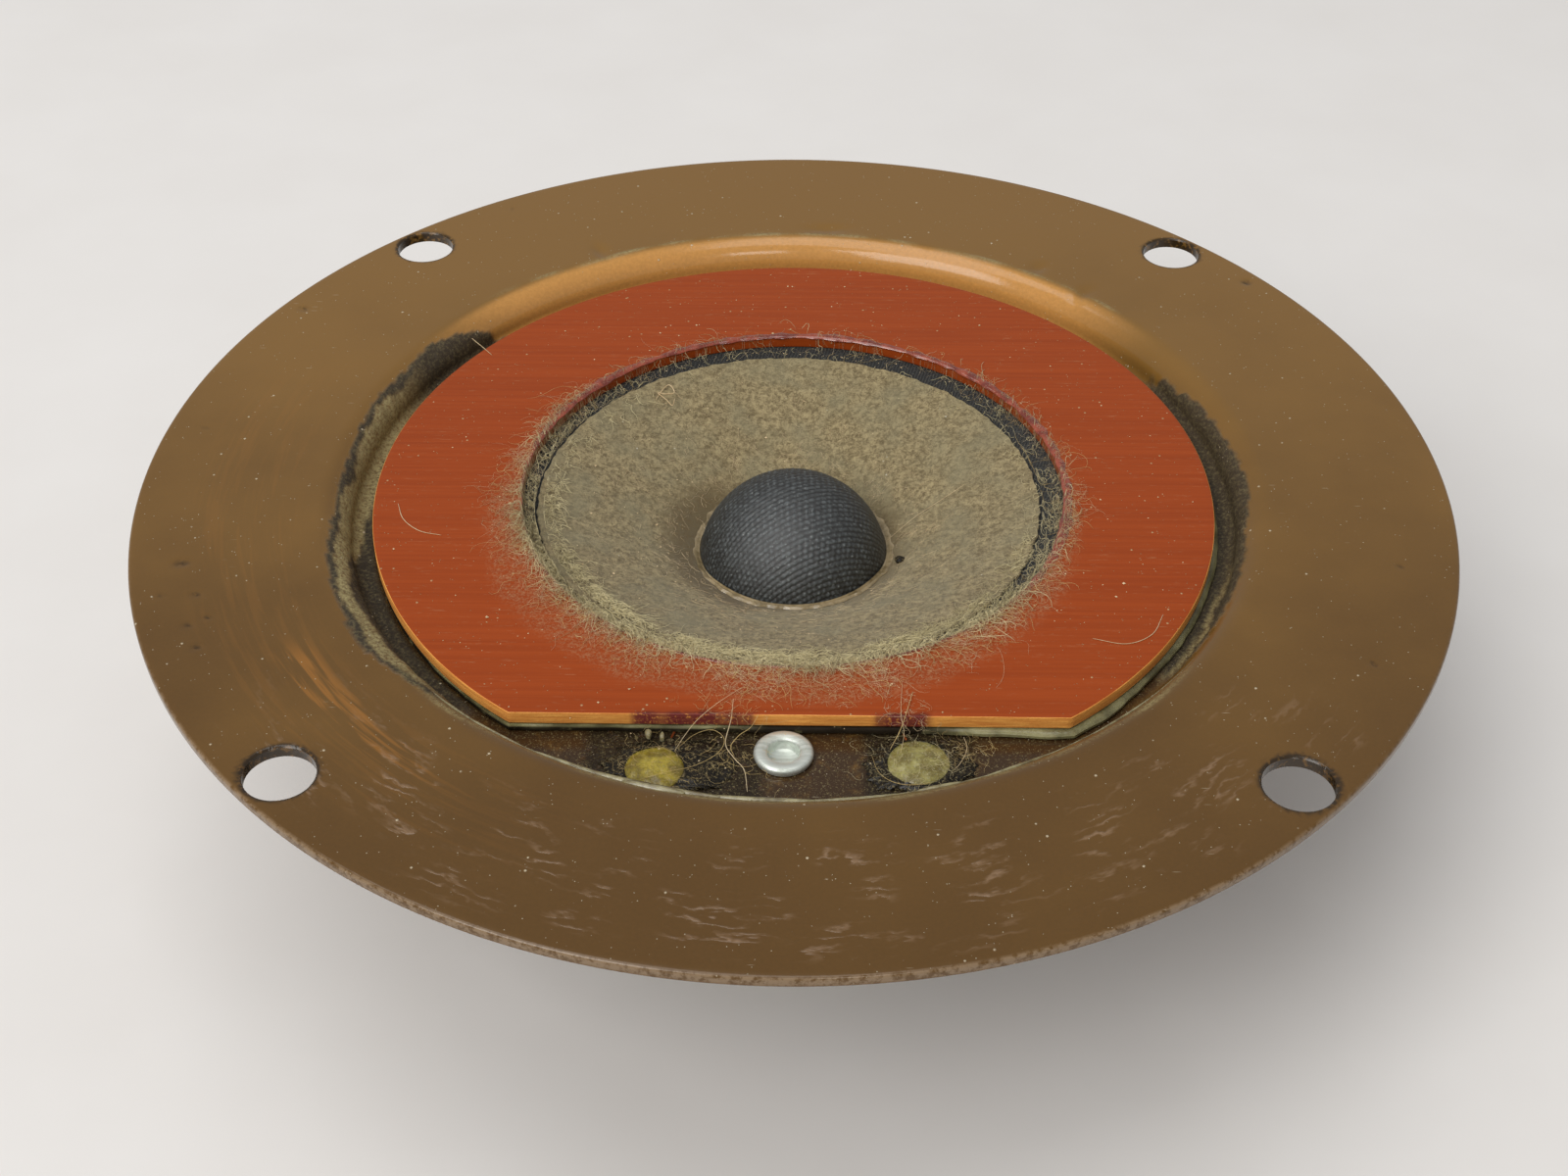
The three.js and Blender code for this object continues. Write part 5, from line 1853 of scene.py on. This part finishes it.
@dataclass
class Terminals:
    """The strip behind the floor and everything on it."""

    sides: list[Terminal] = field(default_factory=lambda: [
        Terminal("left", -10.3, -34.1, 2.33, -9.0, -33.4, 5.0, 3.1, AMBER, 160),
        Terminal("right", 10.0, -33.2, 2.45, 9.9, -33.3, 4.1, 3.05, AMBER_PALE, 180)])
    floor: float = 30.6
    flat_y: float = -29.65

    def build(self) -> None:
        """Builds and dresses the strip, its rivet and both terminals."""
        self.build_strip()
        self.build_rivet()
        self.build_dabs()
        for terminal in self.sides:
            self.build_hardware(terminal)
            self.build_plug(terminal)
            self.build_seal(terminal)
            self.build_lead(terminal)

    def build_strip(self) -> None:
        """The board strip with its cut corners and holes."""
        strip = Place.of("terminal_strip")
        (x0, y0, low), (x1, y1, top) = strip.low, strip.high
        cut = 1.5
        corners = np.array([(x0 + cut, y0), (x1 - cut, y0), (x1, y0 + cut), (x1, y1 - cut), (x1 - cut, y1),
                            (x0 + cut, y1), (x0, y1 - cut), (x0, y0 + cut)])
        outline = np.concatenate([np.linspace(a, b, 8, endpoint=False) for a,
                                  b in zip(corners, np.roll(corners, -1, axis=0))])
        board = flat_piece("terminal_strip_fine", outline, low, top, 0.12)
        rivet = Place.of("strip_rivet").middle
        holes = [(t.x, t.y, 1.3) for t in self.sides] + [(rivet[0], rivet[1], 1.9)]
        cut_out(board, [drill((x, y), r, low - 1, top + 1, 32) for x, y, r in holes])
        settle(board, STRIP_BOARD, "terminal_strip")

    def build_dabs(self) -> None:
        """Two dabs of pale cement beside the ring."""
        for k, (x, y, size) in enumerate(((-11.0, -30.4, 0.42), (-9.9, -30.7, 0.34)), start=1):
            angles = np.linspace(0, TURN, 32, endpoint=False)
            reach = size * (1 + 0.18 * wander(angles, 195 + k, (2, 3, 5)))
            outline = np.column_stack([x + 0.6 * reach * np.cos(angles), y + reach * np.sin(angles)])
            dab = flat_piece(f"cement_dab_{k}", outline, self.floor + 0.2, self.floor + 0.72, 0.12, 0.1)
            settle(dab, OLD_GLUE)

    def build_rivet(self) -> None:
        """The semi-tubular rivet with its rolled flange and blind hole."""
        rivet = Place.of("strip_rivet")
        front, back = self.floor + 0.1, 27.9
        profile: Profile = [(0, back - 1.1), (1.6, back - 0.95), (2.2, back - 0.62), (2.4, back - 0.2),
                            (2.35, back - 0.1), (1.6, back - 0.1), (1.6, front), (2.25, front)]
        profile += arc((2.02, front + 0.32), 0.33, -45, 90, 7)
        profile += [(1.72, front + 0.66), (1.5, front + 0.6)]
        profile += arc((1.5, front + 0.34), 0.26, 90, 180, 5)[1:]
        profile += [(1.18, front - 0.1), (1.1, front - 0.26), (0.7, front - 0.36), (0, front - 0.38)]
        piece = revolve("strip_rivet_fine", dense(profile, 0.25), 72, False, None, rivet.middle[:2])
        paint_flow(piece)
        settle(piece, ALUMINIUM, "strip_rivet")

    @staticmethod
    def build_hardware(t: Terminal) -> None:
        """The eyelet and the solder lug of one terminal."""
        eyelet = Place.of(f"eyelet_{t.side}")
        low, top = eyelet.bottom, eyelet.top
        section = rounded([(0.7, low), (1.9, low), (1.9, low + 0.35), (1.1, low + 0.4), (1.1, top - 0.4),
                           (1.9, top - 0.35), (1.9, top), (0.7, top)], 0.12, 4)
        tube = revolve(f"eyelet_fine_{t.side}", dense(section, 0.3, True), 64, True, None, (t.x, t.y))
        settle(tube, TINNED, f"eyelet_{t.side}")
        lug = Place.of(f"solder_lug_{t.side}")
        Terminals.build_lug(t, lug)

    @staticmethod
    def build_lug(t: Terminal, lug: Place) -> None:
        """A stamped lug: round pad, bent neck and a tail with a slot for the wire."""
        thick, half, bend = 0.6, 1.1, 0.35
        top = lug.top
        reach = float(t.y - lug.low[1])
        soup = Soup()
        line = [(1.2, 0.0)] + [(d, 0.0) for d in np.linspace(0.0, reach - thick - bend, 6)]
        line += [(reach - thick - bend + bend * math.sin(a), -bend + bend * math.cos(a)) for a in
                 np.linspace(0.25, math.pi / 2, 5)]
        line += [(reach - thick, -h) for h in np.linspace(bend + 0.5, top - lug.bottom, 9)]
        path = np.array(line[1:])
        tangent = np.gradient(path, axis=0)
        tangent /= np.linalg.norm(tangent, axis=1, keepdims=True)
        outside = np.column_stack([-tangent[:, 1], tangent[:, 0]])
        count = len(path)
        width = np.array([half * (1 if i < count - 2 else 0.8 if i < count - 1 else 0.45) for i in range(count)])
        for side, depth in ((1, thick), (-1, thick), (-1, 0.0), (1, 0.0)):
            at = path + outside * (thick - depth)
            soup.add(np.column_stack([t.x + side * width, t.y - at[:, 0], top - thick + at[:, 1]]), [])
        i = np.arange(count - 1)
        for a in range(4):
            b = (a + 1) % 4
            soup.faces += np.stack([a * count + i, a * count + i + 1, b * count + i + 1, b * count + i], 1).tolist()
        soup.faces += [[a * count for a in range(4)], [a * count + count - 1 for a in reversed(range(4))]]
        tail = make_mesh(f"solder_lug_tail_{t.side}", soup.all_points(), soup.faces, 40)
        settle(tail, TINNED)
        section = rounded([(1.3, top - thick), (2.2, top - thick), (2.2, top), (1.3, top)], 0.1, 3)
        pad = revolve(f"solder_lug_pad_{t.side}", section, 64, True, None, (t.x, t.y))
        settle(pad, TINNED, f"solder_lug_{t.side}")

    def build_plug(self, t: Terminal) -> None:
        """The domed plug of cement in the terminal's hole."""
        place = Place.of(f"lead_plug_{t.side}")
        r, low, shoulder, top = t.plug, place.bottom, self.floor + 0.3, place.top
        profile: Profile = [(0, low), (r, low), (r, shoulder)]
        profile += [(r * math.cos(a), shoulder + (top - shoulder) * math.sin(a)) for a in
                    np.linspace(0.1, math.pi / 2 - 0.06, 16)]
        profile.append((0, top))

        def slump(p: Array) -> Array:
            """Lets the cement sag and wrinkle as it did when it set."""
            angle = np.arctan2(p[:, 1], p[:, 0])
            above = smooth(shoulder - 0.1, shoulder + 0.3, p[:, 2])
            swell = 1 + 0.05 * wander(angle, t.seed, (2, 3, 5)) * above
            p[:, :2] *= swell[:, None]
            p[:, 2] += above * (0.10 * plasma(p[:, 0], p[:, 1], 2.6, t.seed + 1, 3) - 0.05)
            return p

        plug = revolve(f"lead_plug_fine_{t.side}", dense(profile, 0.25), 96, False, slump, (t.x, t.y))
        settle(plug, t.finish, f"lead_plug_{t.side}")

    def build_seal(self, t: Terminal) -> None:
        """The patch of black tar round the plug, higher where it was dabbed on."""
        angles = np.linspace(0, TURN, 160, endpoint=False)
        grow = 1 + 0.12 * wander(angles, t.seed + 2, (2, 3, 5, 8)) + 0.06 * wander(angles, t.seed + 3, (13, 21, 34))
        rim = np.column_stack([t.seal_x + t.seal_w * grow * np.cos(angles),
                               t.seal_y + t.seal_h * grow * np.sin(angles)])
        far = np.hypot(rim[:, 0], rim[:, 1])
        rim *= np.minimum(1, 37.9 / far)[:, None]
        rim[:, 1] = np.minimum(rim[:, 1], self.flat_y - 0.05)
        hole = np.column_stack([t.x + (t.plug - 0.06) * np.cos(angles), t.y + (t.plug - 0.06) * np.sin(angles)])
        low = self.floor + 0.02
        rows = [(0.0, low), (0.0, low + 0.40), (0.12, low + 0.44), (0.35, low + 0.36), (0.6, low + 0.28),
                (0.82, low + 0.2), (0.95, low + 0.1), (1.0, low + 0.03), (0.99, low), (0.5, low)]
        soup = Soup()
        for share, height in rows:
            flat = hole + (rim - hole) * share
            rise = (height - low) * (1 + 0.4 * plasma(flat[:, 0], flat[:, 1], 2.2, t.seed + 4, 3))
            soup.add(np.column_stack([flat, low + rise]), [])
        i = np.arange(len(angles))
        j = (i + 1) % len(angles)
        for k in range(len(rows)):
            a, b = k * len(angles), (k + 1) % len(rows) * len(angles)
            soup.faces += np.stack([a + j, a + i, b + i, b + j], axis=1).tolist()
        seal = make_mesh(f"lead_seal_fine_{t.side}", soup.all_points(), soup.faces, 60)
        settle(seal, TAR, f"lead_seal_{t.side}")

    def build_lead(self, t: Terminal) -> None:
        """The thin stranded lead from the coil to the plug."""
        reach = math.hypot(t.x, t.y)
        level = self.floor + 0.15
        route = [(7.494, 23.9), (9.5, 23.85), (13, 24.7), (17.5, 26.8), (20.8, 28.5), (23, 29.7), (24.6, level),
                 (25.6, level + 0.02), (27.5, level), (reach - t.plug - 0.2, level)]
        knots = np.array([(r * t.x / reach, r * t.y / reach, z) for r, z in route])
        fine = Lint.spline(knots, 90)
        strands = []
        for k in range(3):
            turn = np.linspace(0, 46, 90) + k * TURN / 3
            across = np.array([-t.y, t.x, 0]) / reach
            strands.append(fine + 0.05 * (np.outer(np.cos(turn), across) + np.outer(np.sin(turn), [0, 0, 1.0])))
        lead = make_threads(f"lead_wire_fine_{t.side}", np.array(strands), np.full(3, 0.055), 6, 1.0)
        dress_bridge(lead, COPPER, f"lead_wire_{t.side}")
        bridge(lead)


# ---- lint


@dataclass
class Lint:
    """Fluff round the surround, stray hairs and flakes of dust."""

    ring_top: float = 32.57
    bore: float = 24.0
    clear: float = 22.5
    off: float = -0.42

    @staticmethod
    def spline(knots: Array, steps: int) -> Array:
        """A smooth line through points.

        Args:
            knots: The points.
            steps: Number of places on the line.

        Returns:
            The places.
        """
        padded = np.concatenate([[2 * knots[0] - knots[1]], knots, [2 * knots[-1] - knots[-2]]])
        t = np.linspace(0, len(knots) - 1 - 1e-9, steps)
        i = t.astype(int)
        f = (t - i)[:, None]
        a, b, c, d = padded[i], padded[i + 1], padded[i + 2], padded[i + 3]
        return 0.5 * (2 * b + (c - a) * f + (2 * a - 5 * b + 4 * c - d) * f**2 + (3 * b - a - 3 * c + d) * f**3)

    @staticmethod
    def curls(rng: np.random.Generator, start: Array, heading: Array, length: Array, curl: float,
              steps: int = 9) -> Array:
        """Flat curling threads from their starts.

        Args:
            rng: Source of chance.
            start: Where each thread starts.
            heading: Its direction in radians.
            length: Its length.
            curl: How far it turns over its length, in radians.
            steps: Places along it.

        Returns:
            Places as (thread, step, xyz), with every z that of its start.
        """
        count = len(start)
        t = np.linspace(0, 1, steps)
        bend = rng.normal(0, curl, count)[:, None] * t + rng.normal(0, curl * 0.6, count)[:, None] * np.sin(t * 7)
        angle = heading[:, None] + bend
        step = (length / (steps - 1))[:, None]
        x = start[:, 0:1] + np.cumsum(np.cos(angle) * step, axis=1)
        y = start[:, 1:2] + np.cumsum(np.sin(angle) * step, axis=1)
        return np.stack([x, y, np.repeat(start[:, 2:3], steps, axis=1)], axis=-1)

    def surface(self, x: Array, y: Array) -> Array:
        """Height of the front over a place: ring, then the slope of the cloth, then cone."""
        radius = np.hypot(x, y)
        cloth = np.interp(radius, [22.3, 23.0, 23.5, 23.9, 24.02], [30.9, 31.07, 31.25, 31.35, self.ring_top])
        inner = np.where(radius < 22.2, cone_top(radius), cloth)
        return np.where(radius > self.bore, self.ring_top, inner)

    def fluff(self, name: str, count: int, seed: int, finish: Finish, body: Body, shares: list[float],
              reach: list[float], inner: float, length: float, width: float, lift: float) -> None:
        """A band of short curled fibres.

        Args:
            name: Name of the piece.
            count: Number of fibres.
            seed: Picks the fibres.
            finish: Their finish.
            body: Body that carries them.
            shares: How thickly they lie, every 30 degrees from +X.
            reach: Outer radius of the band, every 30 degrees from +X.
            inner: Inner radius of the band.
            length: Mean length of a fibre.
            width: Radius of a fibre.
            lift: How high they stand.
        """
        rng = np.random.default_rng(seed)
        bearings = np.arange(0, 361, 30)
        fine = np.linspace(0, 360, 3601)
        weight = np.interp(fine, bearings, [*shares, shares[0]])
        weight = weight * np.clip(0.55 + 0.6 * wander(np.radians(fine), seed, (9, 16, 25, 41)), 0.08, None)
        chance = np.cumsum(np.clip(weight, 0.0, None))
        degrees = np.interp(rng.uniform(0, chance[-1], count), chance, fine)
        angle = np.radians(degrees)
        outer = np.interp(degrees, bearings, [*reach, reach[0]])
        outer = outer + 0.3 * (outer - inner) * wander(angle, seed + 50, (11, 19, 31, 53))
        radius = inner + (outer - inner) * rng.beta(0.9, 2.6, count)
        start = np.column_stack([radius * np.cos(angle), radius * np.sin(angle), np.zeros(count)])
        around = angle + np.pi / 2 + rng.normal(0, 0.9, count)
        lengths = length * rng.lognormal(0, 0.45, count)
        paths = self.curls(rng, start, around, lengths, 1.3)
        if body is Body.MOVING:
            paths = self.keep_inside(paths, 22.1)
        else:
            paths[..., 0] -= self.off
            far = np.hypot(paths[..., 0], paths[..., 1])
            paths[..., :2] *= np.maximum(1, self.clear / far)[..., None]
            paths[..., 0] += self.off
        ground = self.surface(paths[..., 0], paths[..., 1])
        rise = rng.uniform(0.0, lift, count)[:, None] * np.sin(np.linspace(0.25, 2.9, paths.shape[1]))[None, :]
        paths[..., 2] = ground + width + np.maximum(rise, 0)
        radii = width * rng.uniform(0.6, 1.4, count)
        obj = make_threads(name, paths, radii, 3, 0.5)
        settle(obj, finish, body=body)

    @staticmethod
    def keep_inside(paths: Array, limit: float) -> Array:
        """Draws threads in so that they stay on the cone."""
        radius = np.hypot(paths[..., 0], paths[..., 1])
        scale = np.minimum(1, limit / np.maximum(radius, 1e-6))
        paths[..., :2] *= scale[..., None]
        return paths

    def hair(self, name: str, knots: list[tuple[float, float, float]], width: float, finish: Finish,
             body: Body = Body.FRAME) -> None:
        """One long stray hair through points."""
        line = self.spline(np.array(knots), 60)
        settle(make_threads(name, line[None], np.array([width]), 5, 0.5), finish, body=body)

    def tuft(self, name: str, x: float, y: float, wide: float, deep: float, height: float, count: int, seed: int,
             finish: Finish) -> None:
        """A loose tuft of fine short fibres about a place, at a height."""
        rng = np.random.default_rng(seed)
        start = np.column_stack([x + wide * rng.normal(0, 0.5, count), y + deep * rng.normal(0, 0.5, count),
                                 height + rng.uniform(-0.25, 0.2, count)])
        paths = self.curls(rng, start, rng.uniform(0, TURN, count), 1.1 * rng.lognormal(0, 0.45, count), 1.4)
        paths[..., 2] += rng.normal(0, 0.3, count)[:, None] * np.linspace(0, 1, paths.shape[1])
        paths = self.keep_inside(paths, 37.8)
        settle(make_threads(name, paths, rng.uniform(0.006, 0.013, count), 3, 0.5), finish)

    def flakes(self, name: str, count: int, seed: int, size: float, body: Body, low: float, high: float,
               finish: Finish) -> None:
        """Scattered flakes of dust between two radii.

        Args:
            name: Name of the piece.
            count: Number of flakes.
            seed: Picks the flakes.
            size: Mean radius.
            body: Body that carries them.
            low: Inner radius.
            high: Outer radius.
            finish: Their finish.
        """
        rng = np.random.default_rng(seed)
        soup = Soup()
        for _ in range(count):
            angle, far = rng.uniform(0, TURN), rng.uniform(low, high)
            x, y = far * math.cos(angle), far * math.sin(angle)
            z = float(self.surface(np.array(x), np.array(y)))
            r = size * rng.lognormal(0, 0.4)
            points = rng.normal(0, 1, (6, 3))
            points = np.array([[1, 0, 0], [0, 1, 0], [-1, 0, 0], [0, -1, 0], [0, 0, 0.6], [0, 0, -0.6]]) + points * 0.15
            points = points * r + np.array([x, y, z + r * 0.4])
            soup.add(points, [[0, 1, 4], [1, 2, 4], [2, 3, 4], [3, 0, 4], [1, 0, 5], [2, 1, 5], [3, 2, 5], [0, 3, 5]])
        settle(make_mesh(name, soup.all_points(), soup.faces), finish, body=body)

    def build(self) -> None:
        """Lays the fluff, the hairs and the flakes."""
        thick = [0.35, 0.2, 0.1, 0.08, 0.12, 0.5, 0.8, 1.0, 1.0, 0.9, 0.8, 0.6]
        reach = [26.0, 25.2, 24.8, 24.7, 24.9, 25.8, 27.2, 27.4, 27.6, 29.4, 28.4, 26.8]
        self.fluff("fluff_tan", 1000, 201, LINT_TAN, Body.FRAME, thick, reach, 23.6, 1.9, 0.012, 0.6)
        self.fluff("fluff_pale", 3200, 202, LINT_PALE, Body.FRAME, thick, reach, 23.6, 1.2, 0.007, 0.4)
        near = [24.9] * 12
        cover = [0.1, 0.04, 0.02, 0.02, 0.04, 0.08, 0.3, 0.95, 1.0, 1.0, 0.9, 0.35]
        self.fluff("fluff_over_cloth", 4600, 203, LINT_OLIVE, Body.FRAME, cover, near, 22.7, 1.2, 0.019, 1.2)
        edge = [22.1] * 12
        self.fluff("fluff_on_cone_edge", 2400, 204, LINT_OLIVE, Body.MOVING, cover, edge, 21.0, 1.1, 0.018, 0.5)
        self.fluff("fibres_on_cone", 800, 205, LINT_PALE, Body.MOVING, [1.0] * 12, edge, 9.6, 0.9, 0.010, 0.10)
        self.flakes("dust_on_ring", 260, 211, 0.055, Body.FRAME, 24.2, 36.5, LINT_PALE)
        self.flakes("dust_on_cloth", 420, 213, 0.034, Body.FRAME, 22.9, 23.9, LINT_PALE)
        self.flakes("dust_on_cone", 150, 212, 0.05, Body.MOVING, 9.6, 22.0, LINT_PALE)
        self.build_hairs()

    def build_hairs(self) -> None:
        """The long stray hairs."""
        on = self.ring_top + 0.06
        self.hair("hair_ring_left", [(-32.9, 25.5, 33.0), (-31.6, 23.4, on), (-30.2, 21.6, on), (-29.2, 20.3, on)],
                  0.035, LINT_PALE)
        self.hair("hair_ring_left_low", [(-34.6, -3.2, on), (-33.8, -5.4, on), (-32.2, -7.0, on), (-30.2, -7.6, on)],
                  0.03, LINT_PALE)
        self.hair("hair_ring_right_low", [(24.5, -20.3, on), (27.2, -20.9, on), (29.4, -19.7, on), (30.6, -17.2, on)],
                  0.03, LINT_PALE)
        tangles = [
            [(-3.8, -26.6, on), (-5.6, -28.8, 33.0), (-7.1, -30.4, 32.7), (-8.1, -31.4, 31.9), (-8.8, -32.8, 31.6)],
            [(-8.6, -32.4, 31.5), (-7.4, -31.2, 31.8), (-6.0, -30.8, 32.0), (-5.0, -31.7, 31.9), (-5.5, -32.9, 31.5),
             (-7.3, -34.1, 31.3), (-9.1, -35.0, 31.6), (-11.3, -35.7, 31.4)],
            [(-4.4, -28.1, 32.8), (-4.5, -30.4, 32.8), (-4.9, -31.9, 31.6), (-4.2, -33.1, 31.2), (-3.4, -34.2, 31.0),
             (-3.1, -36.4, 30.9)],
            [(-2.4, -29.8, 32.7), (-3.0, -30.7, 32.2), (-3.9, -31.0, 31.6), (-4.5, -31.9, 31.3), (-4.2, -32.8, 31.1)],
            [(8.9, -25.9, on), (8.7, -29.3, 32.75), (8.9, -31.2, 32.2), (8.6, -33.0, 31.8)],
            [(9.7, -26.9, on), (9.0, -30.0, 32.8), (8.5, -31.0, 32.0), (7.8, -32.5, 31.7)],
            [(13.6, -30.6, 31.3), (13.8, -31.7, 31.1), (13.1, -33.4, 31.0), (11.8, -34.8, 31.0)],
            [(6.4, -32.4, 31.0), (7.0, -34.5, 31.1), (8.5, -35.6, 31.1), (10.6, -35.5, 31.1), (11.7, -34.2, 31.0)]]
        for k, knots in enumerate(tangles, start=1):
            self.hair(f"hair_at_terminals_{k}", knots, (0.03, 0.022, 0.018)[k % 3], LINT_PALE if k % 2 else LINT_TAN)
        self.tuft("tuft_left_plug", -10.3, -34.2, 3.6, 2.8, 31.5, 110, 221, LINT_TAN)
        self.tuft("tuft_right_plug", 9.9, -33.2, 3.8, 2.8, 31.5, 130, 222, LINT_OLIVE)
        self.tuft("tuft_middle", -4.4, -32.4, 4.0, 2.8, 31.2, 60, 223, LINT_TAN)
        self.tuft("tuft_right_corner", 13.6, -32.0, 2.2, 1.8, 31.2, 60, 224, LINT_TAN)
        self.tuft("tuft_on_edge", -4.0, -28.4, 3.6, 2.2, 32.7, 70, 225, LINT_TAN)
        self.tuft("tuft_on_edge_right", 9.0, -28.7, 1.6, 2.2, 32.7, 50, 226, LINT_PALE)
        loop = [(-13.2, 15.6), (-12.6, 16.9), (-12.0, 17.5), (-11.5, 16.6), (-12.3, 16.2), (-13.0, 16.1),
                (-12.2, 15.4), (-11.6, 14.8), (-11.4, 15.6)]
        knots = [(x, y, float(cone_top(math.hypot(x, y))) + 0.12 + 0.06 * k) for k, (x, y) in enumerate(loop)]
        self.hair("lint_loop_on_cone", knots, 0.05, LINT_PALE, Body.MOVING)
        across = [(8.4, 1.0), (11.0, 2.6), (13.6, 3.7), (16.6, 5.2)]
        knots = [(x, y, float(cone_top(math.hypot(x, y))) + 0.1) for x, y in across]
        self.hair("hair_across_cone", knots, 0.018, LINT_PALE, Body.MOVING)


# ---- studio


@dataclass
class Studio:
    """Floor, lights and camera."""

    eye: Colour = (0.00125, -0.1504, 0.146)
    ahead: Colour = (-0.0106, 0.7684, -0.6399)
    lens: float = 48.75

    def light(self, name: str, at: Colour, aim: Colour, size: float, power: float, colour: Colour) -> None:
        """One soft rectangular light."""
        data = bpy.data.lights.new(name, "AREA")
        data.shape = "SQUARE"
        data.size = size
        data.energy = power
        data.color = colour
        obj = bpy.data.objects.new(name, data)
        obj.location = at
        obj.rotation_euler = (Vector(aim) - Vector(at)).to_track_quat("-Z", "Y").to_euler()
        bpy.context.scene.collection.objects.link(obj)

    def build(self) -> None:
        """Sets up the studio."""
        scene = bpy.context.scene
        scene.view_settings.view_transform = "Standard"
        world = bpy.data.worlds.new("studio")
        scene.world = world
        world.use_nodes = True
        background = world.node_tree.nodes["Background"]
        background.inputs["Color"].default_value = (1.0, 1.0, 1.0, 1.0)
        background.inputs["Strength"].default_value = 0.36
        self.light("ceiling", (-0.25, 0.02, 1.25), (0, 0.1, 0.0), 0.9, 5.5, (1.0, 0.99, 0.98))
        self.light("front", (-0.66, -0.8, 1.0), (0, 0, 0.03), 0.8, 11.0, (1.0, 0.985, 0.96))
        self.light("window", (0.22, -1.1, 1.0), (0, 0, 0.03), 0.3, 1.6, (1.0, 0.98, 0.95))
        self.build_floor()
        self.build_camera()

    @staticmethod
    def build_floor() -> None:
        """The pale floor."""
        s = Shader("pale_floor")
        here = s.place()
        s.set("Base Color", s.mix(s.noise(here, 0.05, 3), tint(226, 223, 220), tint(233, 231, 229)))
        s.set("Roughness", 0.6)
        floor = make_mesh("floor", np.array([[-1500, -1500, 0], [1500, -1500, 0], [1500, 1500, 0], [-1500, 1500, 0]]),
                          [[0, 1, 2, 3]])
        floor.data.materials.append(s.result)

    def build_camera(self) -> None:
        """The camera."""
        data = bpy.data.cameras.new("camera")
        data.lens = self.lens
        data.sensor_width = 36.0
        data.clip_start = 0.005
        data.clip_end = 20.0
        camera = bpy.data.objects.new("camera", data)
        up = Vector((-0.0095, 0.6398, 0.7685))
        back = -Vector(self.ahead).normalized()
        right = up.cross(back).normalized()
        up = back.cross(right)
        turn = Matrix((right, up, back)).transposed().to_4x4()
        camera.matrix_world = Matrix.Translation(self.eye) @ turn
        bpy.context.scene.collection.objects.link(camera)
        bpy.context.scene.camera = camera


def main() -> None:
    """Builds everything in order."""
    logging.basicConfig(level=logging.INFO, format="%(message)s")
    assemblies = (Studio, MountingPlate, RearCup, ClampingRing, Surround, Cone, DustCap, VoiceCoil, Spider, Motor,
                  Terminals, Lint)
    for assembly in assemblies:
        LOG.info("building %s", assembly.__name__)
        assembly().build()


if __name__ == "__main__":
    main()
